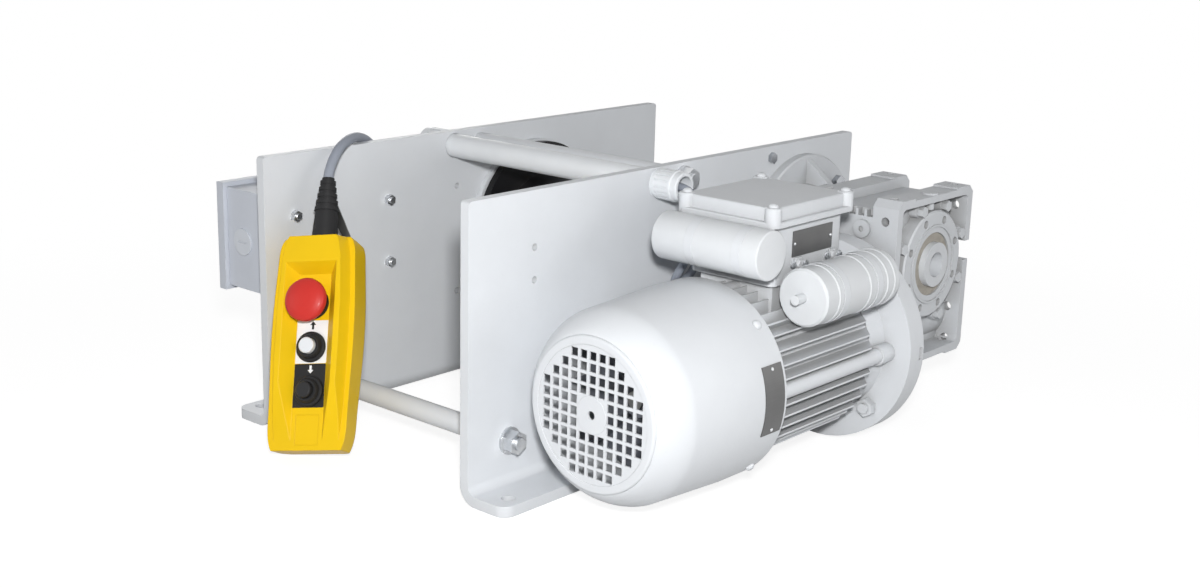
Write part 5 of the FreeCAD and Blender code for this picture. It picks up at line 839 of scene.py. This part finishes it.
# %% The ties' sizes
TIE_WIDTH = 0.0045
TIE_THICKNESS = 0.0009
TIE_ANGLES = (math.radians(52), math.radians(232))
TIE_CORNER = 0.004
TIE_ROOM = 0.0003
TIE_STEPS = 5
FLOOR_ROOM = 0.0001
LOCK_LOW = 0.0130
LOCK_HIGH = 0.0190
LOCK_SINK = 0.0002
LOCK_REACH = 0.0036
LOCK_CORNER = 0.0008
LOCK_SPREAD = 1.5
SLOT_FROM = 0.0009
SLOT_TO = 0.0022
SLOT_MARGIN = 0.0006
SLOT_CORNER = 0.0003


# %% A band round the turns
def coil_levels(angle):
    """Heights at which the coil's turns pass an angle."""
    parts = [(angle - 2 * math.pi * turn - COIL_FIRST_ANGLE) / COIL_SWEEP for turn in range(FULL_TURNS + 2)]
    return [coil_level(part) for part in parts if 0 <= part <= 1]


def band(mesh, rim, core, angle, width):
    """A closed band between two outlines, across a width, in the plane through the coil's axis."""
    out = Vector((math.cos(angle), math.sin(angle), 0))
    side = Vector((-math.sin(angle), math.cos(angle), 0)) * width / 2
    slices = []
    for edge, hollow in zip(rim, core):
        ring = [COIL_CENTRE + out * r + UP * z + s
                for (r, z), s in ((edge, side), (edge, -side), (hollow, -side), (hollow, side))]
        slices.append([mesh.verts.new(place) for place in ring])
    skinned(mesh, slices, True)


# %% Coil ties
def tie_band(name, angle):
    """One tie round the coil's turns, with its lock on the outer side."""
    mesh = bmesh.new()
    room = CORD_DIAMETER / 2 + TIE_ROOM
    inner = COIL_RADIUS - room
    outer = COIL_RADIUS + room
    low = max(min(coil_levels(angle)) - room, TIE_THICKNESS + FLOOR_ROOM)
    high = max(coil_levels(angle)) + room
    t = TIE_THICKNESS
    core = rounded_outline((inner, low), (outer, high), TIE_CORNER, TIE_STEPS)
    rim = rounded_outline((inner - t, low - t), (outer + t, high + t), TIE_CORNER + t, TIE_STEPS)
    band(mesh, rim, core, angle, TIE_WIDTH)
    lock = rounded_outline((outer - LOCK_SINK, LOCK_LOW),
                           (outer + LOCK_REACH, LOCK_HIGH), LOCK_CORNER, TIE_STEPS)
    hollow = rounded_outline((outer + SLOT_FROM, LOCK_LOW + SLOT_MARGIN),
                             (outer + SLOT_TO, LOCK_HIGH - SLOT_MARGIN), SLOT_CORNER, TIE_STEPS)
    band(mesh, lock, hollow, angle, TIE_WIDTH * LOCK_SPREAD)
    as_piece(name, mesh, tie_black, False)


for k, angle in enumerate(TIE_ANGLES):
    tie_band("coil_tie_%d" % k, angle)

# %% [markdown]
# ## The pendant's legends
# The pendant's channel carries a white legend with an arrow for up and a black one for down, each with a
# hole for its button. A flat outline with a hole fills well from its edge loops. It is drawn in the pendant's
# own upright frame, given a thickness, and then turned and moved to where the pendant leans.

# %% The legends' sizes
PENDANT_FOOT = Vector((-0.027, -0.332, 0.017))
PENDANT_TURN = math.radians(23.5)
PENDANT_LEAN = math.radians(-25.8)
PENDANT_TILT = math.radians(-8.0)
PENDANT_POSE = (Matrix.Translation(PENDANT_FOOT) @ Matrix.Rotation(PENDANT_TURN, 4, "Z")
                @ Matrix.Rotation(PENDANT_LEAN, 4, "X") @ Matrix.Rotation(PENDANT_TILT, 4, "Y"))
LEGEND_HALF = 0.0157
LEGEND_THICKNESS = 0.0003
LEGEND_LIFT = 0.00002
LEGEND_CORNER = 0.0008
LEGEND_STEPS = 4
UP_LEGEND = (0.0811, 0.1217)
DOWN_LEGEND = (0.0397, 0.0807)
BUTTON_HOLE = 0.01455
HOLE_SIDES = 48
UP_HEIGHT = 0.0965
DOWN_HEIGHT = 0.0550
ARROW_THICKNESS = 0.00008
ARROW_ASIDE = 0.0005
UP_ARROW_FOOT = 0.1133
DOWN_ARROW_FOOT = 0.0792
ARROW = [(-0.0011, 0.0), (0.0011, 0.0), (0.0011, 0.0042), (0.0031, 0.0042), (0.0, 0.0076),
         (-0.0031, 0.0042), (-0.0011, 0.0042)]


# %% Thin pieces on the pendant
def circle(height, radius):
    angles = [2 * math.pi * k / HOLE_SIDES for k in range(HOLE_SIDES)]
    return [(radius * math.cos(a), height + radius * math.sin(a)) for a in angles]


def stuck_on(name, loops, lift, thickness, finish):
    """A thin flat piece on the channel's floor: outline and holes, then thickness, then its leaning place."""
    mesh = bmesh.new()
    edges = []
    for loop in loops:
        corners = [mesh.verts.new((x, -lift, z)) for x, z in loop]
        edges += [mesh.edges.new(pair) for pair in zip(corners, corners[1:] + corners[:1])]
    bmesh.ops.triangle_fill(mesh, edges=edges, use_beauty=True)
    lifted = bmesh.ops.extrude_face_region(mesh, geom=list(mesh.faces), use_keep_orig=True)
    tops = [part for part in lifted["geom"] if isinstance(part, bmesh.types.BMVert)]
    bmesh.ops.translate(mesh, verts=tops, vec=(0.0, -thickness, 0.0))
    mesh.transform(PENDANT_POSE)
    as_piece(name, mesh, finish, False)


# %% Legends and arrows
def legend(name, levels, button, finish):
    low, high = levels
    outline = rounded_outline((-LEGEND_HALF, low), (LEGEND_HALF, high), LEGEND_CORNER, LEGEND_STEPS)
    loops = [outline, circle(button, BUTTON_HOLE)]
    stuck_on(name, loops, LEGEND_LIFT, LEGEND_THICKNESS, finish)


def arrow(name, foot, way, finish):
    outline = [(x + ARROW_ASIDE, foot + way * z) for x, z in ARROW]
    stuck_on(name, [outline], LEGEND_LIFT + LEGEND_THICKNESS, ARROW_THICKNESS, finish)


legend("legend_up", UP_LEGEND, UP_HEIGHT, legend_white)
legend("legend_down", DOWN_LEGEND, DOWN_HEIGHT, legend_black)
arrow("arrow_up", UP_ARROW_FOOT, 1, legend_black)
arrow("arrow_down", DOWN_ARROW_FOOT, -1, legend_white)

# %% [markdown]
# ## Small parts that repeat
# Rivets, screw heads, clamp bolts and threads are each one shape set on many places, and turned to face a
# given way. That is a job for Geometry Nodes: a cloud of points carries the directions in an attribute named
# `out`, and a tree puts the shape on every point. The result is made a plain mesh before it joins the winch.


# %% Starting and ending a tree
def start_tree(name, sizes):
    """A new tree with named number inputs; gives the tree and all its inputs as signals."""
    tree = bpy.data.node_groups.new(name, "GeometryNodeTree")
    tree.interface.new_socket("Geometry", in_out="INPUT", socket_type="NodeSocketGeometry")
    tree.interface.new_socket("Geometry", in_out="OUTPUT", socket_type="NodeSocketGeometry")
    for size in sizes:
        tree.interface.new_socket(size, in_out="INPUT", socket_type="NodeSocketFloat")
    tree.interface.new_socket("Finish", in_out="INPUT", socket_type="NodeSocketMaterial")
    entry = tree.nodes.new("NodeGroupInput")
    given = {socket.name: Signal(tree, socket) for socket in entry.outputs if socket.name}
    return tree, given


def on_points(given, shape):
    """The shape on every point, turned to its direction."""
    points = given["Geometry"]
    out = points.node("GeometryNodeInputNamedAttribute", {"data_type": "FLOAT_VECTOR"}, {"Name": "out"})
    facing = points.node("FunctionNodeAlignRotationToVector", {"axis": "Z"}, {"Vector": out})
    return points.node("GeometryNodeInstanceOnPoints", None,
                       {"Points": points, "Instance": shape, "Rotation": facing})


def leave_tree(tree, given, made):
    """Ends a tree: what it made becomes real geometry with the finish."""
    real = made.node("GeometryNodeRealizeInstances", None, {"Geometry": made})
    done = made.node("GeometryNodeSetMaterial", None, {"Geometry": real, "Material": given["Finish"]})
    leave = tree.nodes.new("NodeGroupOutput")
    tree.links.new(done.socket, leave.inputs["Geometry"])


def end_tree(tree, given, shape):
    leave_tree(tree, given, on_points(given, shape))


# %% Growing a shape on points
def grow(name, tree, places, sizes, finish, stand=None):
    """Runs a tree on a list of (place, direction) pairs and keeps the result as one plain mesh."""
    cloud = bpy.data.meshes.new(name)
    cloud.from_pydata([place for place, out in places], [], [])
    ways = cloud.attributes.new("out", "FLOAT_VECTOR", "POINT")
    ways.data.foreach_set("vector", [c for place, out in places for c in out])
    piece = bpy.data.objects.new(name, cloud)
    scene.collection.objects.link(piece)
    grower = piece.modifiers.new("grow", "NODES")
    grower.node_group = tree
    values = {**sizes, "Finish": finish}
    for socket in tree.interface.items_tree:
        if socket.in_out == "INPUT" and socket.name in values:
            grower[socket.identifier] = values[socket.name]
    ready = bpy.context.evaluated_depsgraph_get()
    plain = bpy.data.meshes.new_from_object(piece.evaluated_get(ready), depsgraph=ready)
    piece.modifiers.remove(grower)
    if stand:
        plain.transform(stand)
    piece.data = plain
    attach(piece, "frame")
    print(name, "faces:", len(plain.polygons))
    return piece


# %% [markdown]
# ### Rivets of the rating plates
# Each bare plate is held by two small round-headed rivets. A rivet's head is a ball pressed flat, half
# sunk in the plate.

# %% Rivets
rivet_tree, rivet = start_tree("rivets", ["Radius", "Height"])
wide = rivet["Radius"]
ball = wide.node("GeometryNodeMeshUVSphere", None, {"Segments": 20, "Rings": 12, "Radius": 1.0})
flatten = wide.node("ShaderNodeCombineXYZ", None, {"X": wide, "Y": wide, "Z": rivet["Height"]})
head = wide.node("GeometryNodeTransform", None, {"Geometry": ball, "Scale": flatten})
end_tree(rivet_tree, rivet, head)


def on_cowl(angle, radius, y):
    """A place on the cowl and the direction out of it, at an angle up from +X."""
    out = Vector((math.cos(math.radians(angle)), 0.0, math.sin(math.radians(angle))))
    return MOTOR_AXIS + ALONG_Y * y + out * radius, out


BOX_PLATE_X = 0.3028
BOX_PLATE_Z = 0.22275
BOX_RIVETS = (-0.0432, 0.0132)
COWL_PLATE_RADIUS = 0.09165
COWL_PLATE_Y = -0.1245
COWL_RIVETS = (-14.6, 19.6)
RIVET_SIZES = {"Radius": 0.0017, "Height": 0.0009}
rivet_places = [(Vector((BOX_PLATE_X, y, BOX_PLATE_Z)), ALONG_X) for y in BOX_RIVETS]
rivet_places += [on_cowl(angle, COWL_PLATE_RADIUS, COWL_PLATE_Y) for angle in COWL_RIVETS]
grow("plate_rivets", rivet_tree, rivet_places, RIVET_SIZES, zinc)

# %% [markdown]
# ### Screw heads
# The cowl's and the lid's screws were painted over, so their domed heads show no recess. The same pressed
# ball, larger and in the motor's paint, takes the place of each flat machined head.

# %% Screw domes
COWL_SCREW_LIFT = 0.0002
COWL_SCREW_Y = -0.1195
COWL_SCREWS = (45, 135, 225, 315)
DOME_SIZES = {"Radius": 0.0046, "Height": 0.0034}
dome_places = [(Vector((x, y, POST_TOP)), UP) for x, y in LID_POSTS]
dome_places += [on_cowl(angle, COWL_RADIUS + COWL_SCREW_LIFT, COWL_SCREW_Y) for angle in COWL_SCREWS]
domes = grow("screw_domes", rivet_tree, dome_places, DOME_SIZES, motor_paint)
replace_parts(domes, "cover_screws")

# %% [markdown]
# ### Clamp bolts
# Two small hexagon bolts with washers stand at each band of the start capacitor, one on the band's lug and
# one ahead of it on the terminal box's side. Two cylinders, one with six sides, make the head and the washer.

# %% Clamp bolts
WASHER_SPREAD = 1.35
WASHER_SHARE = 0.3
WASHER_DROP = -0.45


def cylinder(sides, radius, depth):
    """A cylinder about Z; its depth is a signal of the tree that it joins."""
    return depth.node("GeometryNodeMeshCylinder", None, {"Vertices": sides, "Radius": radius, "Depth": depth})


hex_tree, hexes = start_tree("hexagon_bolts", ["Radius", "Height"])
head = cylinder(6, hexes["Radius"], hexes["Height"])
washer = cylinder(28, hexes["Radius"] * WASHER_SPREAD, hexes["Height"] * WASHER_SHARE)
sunk = hexes["Height"].node("ShaderNodeCombineXYZ", None, {"Z": hexes["Height"] * WASHER_DROP})
washer = washer.node("GeometryNodeTransform", None, {"Geometry": washer, "Translation": sunk})
both = head.node("GeometryNodeJoinGeometry", None, {"Geometry": head})
hex_tree.links.new(washer.socket, both.socket.node.inputs["Geometry"])
end_tree(hex_tree, hexes, both)

CLAMP_BOLT_Z = 0.204
LUG_X = 0.3084
LUG_BOLTS = (-0.0320, 0.0220)
BOX_SIDE_X = 0.3034
SIDE_BOLTS = (-0.0435, 0.0105)
CLAMP_BOLT_SIZES = {"Radius": 0.0030, "Height": 0.0026}
clamp_places = [(Vector((x, y, CLAMP_BOLT_Z)), ALONG_X)
                for x, row in ((LUG_X, LUG_BOLTS), (BOX_SIDE_X, SIDE_BOLTS)) for y in row]
grow("clamp_bolts", hex_tree, clamp_places, CLAMP_BOLT_SIZES, zinc)

# %% [markdown]
# ### The grille
# The grille is a round plate with square holes on a grid, its corners left blank and its middle closed. Here
# the points carry cutters instead of the shape itself, and a Boolean takes them out of the plate. The plate
# is made lying flat and is then stood up in the cowl's face.

# %% Grille
HOLE = 0.0074
HOLE_PITCH = 0.0102
HOLES_EACH_WAY = 5
HOLES_TO_CORNER = 7
SEAT_OVERLAP = 0.0006
CUTTER_DEPTHS = 4.0
grille_tree, grille = start_tree("grille", ["Radius", "Thickness", "Hole"])
plate = cylinder(AROUND, grille["Radius"], grille["Thickness"])
deep = grille["Thickness"] * CUTTER_DEPTHS
cutter_size = deep.node("ShaderNodeCombineXYZ", None, {"X": grille["Hole"], "Y": grille["Hole"], "Z": deep})
cutter = deep.node("GeometryNodeMeshCube", None, {"Size": cutter_size})
eye_cutter = cylinder(32, EYE_RADIUS, deep)
perforated = plate.node("GeometryNodeMeshBoolean", {"operation": "DIFFERENCE"},
                        {"Mesh 1": plate, "Mesh 2": on_points(grille, cutter)})
grille_tree.links.new(eye_cutter.socket, perforated.socket.node.inputs["Mesh 2"])
leave_tree(grille_tree, grille, perforated)

grid = range(-HOLES_EACH_WAY, HOLES_EACH_WAY + 1)
hole_places = [(Vector((x * HOLE_PITCH, y * HOLE_PITCH, 0.0)), UP) for x in grid for y in grid
               if abs(x) + abs(y) <= HOLES_TO_CORNER and max(abs(x), abs(y)) > 1]
seat = MOTOR_AXIS + ALONG_Y * (FACE + GRILLE_SINK + COWL_WALL / 2)
stand = Matrix.Translation(seat) @ Matrix.Rotation(math.radians(90), 4, "X")
GRILLE_SIZES = {"Radius": GRILLE_RADIUS + SEAT_OVERLAP, "Thickness": COWL_WALL, "Hole": HOLE}
grow("grille", grille_tree, hole_places, GRILLE_SIZES, motor_paint, stand)

# %% [markdown]
# ### Threads
# A bolt's end that stands out of its nut shows a turn or two of thread. A spiral of the thread's pitch with
# a small four-sided section, half sunk in the shank, gives its ridges.

# %% Threads
RIDGE_SHARE = 0.3
thread_tree, thread = start_tree("threads", ["Radius", "Length", "Pitch"])
turns = thread["Length"] / thread["Pitch"]
spiral = turns.node("GeometryNodeCurveSpiral", None,
                    {"Resolution": 40, "Rotations": turns, "Start Radius": thread["Radius"],
                     "End Radius": thread["Radius"], "Height": thread["Length"]})
ridge = turns.node("GeometryNodeCurvePrimitiveCircle", None,
                   {"Resolution": 4, "Radius": thread["Pitch"] * RIDGE_SHARE})
coil = turns.node("GeometryNodeCurveToMesh", None,
                  {"Curve": spiral, "Profile Curve": ridge, "Fill Caps": True})
end_tree(thread_tree, thread, coil)

TIE_END = 0.1567
TIE_PLACES = [(-0.240, 0.048), (0.240, 0.048), (-0.005, 0.255)]
TIE_THREAD = {"Radius": 0.0058, "Length": 0.0024, "Pitch": 0.00125}
PLATE_INSIDE = 0.1288
BOX_BOLT_PLACES = [(y, z) for y in (-0.254, -0.135) for z in (0.144, 0.209)]
EARTH_BOLT_PLACE = (0.140, 0.258)
SMALL_THREAD = {"Radius": 0.0028, "Length": 0.0014, "Pitch": 0.0007}
tie_ends = [(Vector((way * TIE_END, y, z)), ALONG_X * way) for way in (1, -1) for y, z in TIE_PLACES]
grow("tie_rod_threads", thread_tree, tie_ends, TIE_THREAD, zinc)
small_ends = [(Vector((-PLATE_INSIDE, y, z)), ALONG_X) for y, z in BOX_BOLT_PLACES]
small_ends.append((Vector((PLATE_INSIDE, *EARTH_BOLT_PLACE)), -ALONG_X))
grow("small_bolt_threads", thread_tree, small_ends, SMALL_THREAD, zinc)

# %% [markdown]
# ## The studio
# A white table, a small key light just above the camera, three wide fills and an even, dim surround. For the
# camera, and for what mirrors the table, a glow makes up the table's open tone to white, so only the winch's
# own soft shadow shows on it. Further out the table fades into the white surround.

# %% Floor and surround
FLOOR_SIZE = 6.0
FADE_FROM = 0.35
FADE_TO = 1.1
SHADOW_SHARE = 0.60
OPEN_TABLE = 0.25
TABLE_GLOW = (1.0 - SHADOW_SHARE * OPEN_TABLE) / (1.0 - SHADOW_SHARE)


def seen_directly(tree):
    """1 for rays from the camera and for mirrored or refracted ones, 0 for the light on the winch."""
    path = tree.nodes.new("ShaderNodeLightPath")
    seen = Signal(tree, path.outputs["Is Camera Ray"]) + Signal(tree, path.outputs["Is Glossy Ray"])
    seen = seen + Signal(tree, path.outputs["Is Transmission Ray"])
    return seen.maths("MINIMUM", seen, 1.0)


def blended(factor, first, second):
    """One shader fading into another."""
    return first.node("ShaderNodeMixShader", None, {0: factor, 1: first, 2: second})


def table_finish():
    material, shader, place = new_finish("table_white")
    shader.inputs["Base Color"].default_value = colour(0.50, 0.50, 0.50)
    shader.inputs["Roughness"].default_value = 0.8
    shader.inputs["Specular IOR Level"].default_value = 0.1
    plain = Signal(place.tree, shader.outputs[0])
    distance = place.node("ShaderNodeVectorMath", {"operation": "LENGTH"}, {0: place}, 1)
    away = place.node("ShaderNodeMapRange", {"interpolation_type": "SMOOTHSTEP"},
                      {"Value": distance, "From Min": FADE_FROM, "From Max": FADE_TO})
    glow = place.node("ShaderNodeEmission", None, {"Strength": TABLE_GLOW})
    white = place.node("ShaderNodeEmission", None, {"Strength": 1.0})
    near = blended(1.0 - SHADOW_SHARE, plain, glow)
    seen = blended(seen_directly(place.tree), plain, blended(away, near, white))
    feed(place.tree, place.tree.nodes["Material Output"].inputs["Surface"], seen)
    return material


# %% Table
floor_mesh = bpy.data.meshes.new("table")
half = FLOOR_SIZE / 2
floor_corners = [(-half, -half, 0), (half, -half, 0), (half, half, 0), (-half, half, 0)]
floor_mesh.from_pydata(floor_corners, [], [(0, 1, 2, 3)])
floor_mesh.materials.append(table_finish())
floor = bpy.data.objects.new("table", floor_mesh)
scene.collection.objects.link(floor)
print("table:", FLOOR_SIZE, "m square")

# %% [markdown]
# ### Lights
# The shading in the photograph points to a small light close to the camera. The key stands there, and the
# wide fills only open the shadows. A soft box that looks at a point is easy to place, and stays unseen.

# %% Lights
AMBIENT = 0.12
MIDDLE = (0.10, 0.0, 0.12)
LAMPS = [("key", (1.114, -1.198, 0.690), (0.15, -0.05, 0.12), 0.10, 22.0),
         ("right_fill", (1.97, 0.99, 0.67), MIDDLE, 1.0, 6.5),
         ("left_fill", (-0.91, -1.92, 0.67), MIDDLE, 1.0, 4.0),
         ("rear_fill", (-2.20, 1.30, 0.75), (0.0, 0.0, 0.12), 1.0, 13.0)]


def soft_light(name, place, target, size, power):
    """A square soft box that looks at a point."""
    lamp = bpy.data.lights.new(name, "AREA")
    lamp.shape = "SQUARE"
    lamp.size = size
    lamp.energy = power
    light = bpy.data.objects.new(name, lamp)
    light.location = place
    light.rotation_euler = (Vector(target) - Vector(place)).to_track_quat("-Z", "Y").to_euler()
    light.visible_camera = False
    scene.collection.objects.link(light)


world = bpy.data.worlds.new("surround")
scene.world = world
world.use_nodes = True
sky = world.node_tree.nodes["Background"]
sky.inputs["Color"].default_value = colour(1.0, 1.0, 1.0)
feed(world.node_tree, sky.inputs["Strength"], seen_directly(world.node_tree) * (1.0 - AMBIENT) + AMBIENT)
for lamp in LAMPS:
    soft_light(*lamp)
scene.view_settings.view_transform = "Standard"
print("lights:", [lamp[0] for lamp in LAMPS])
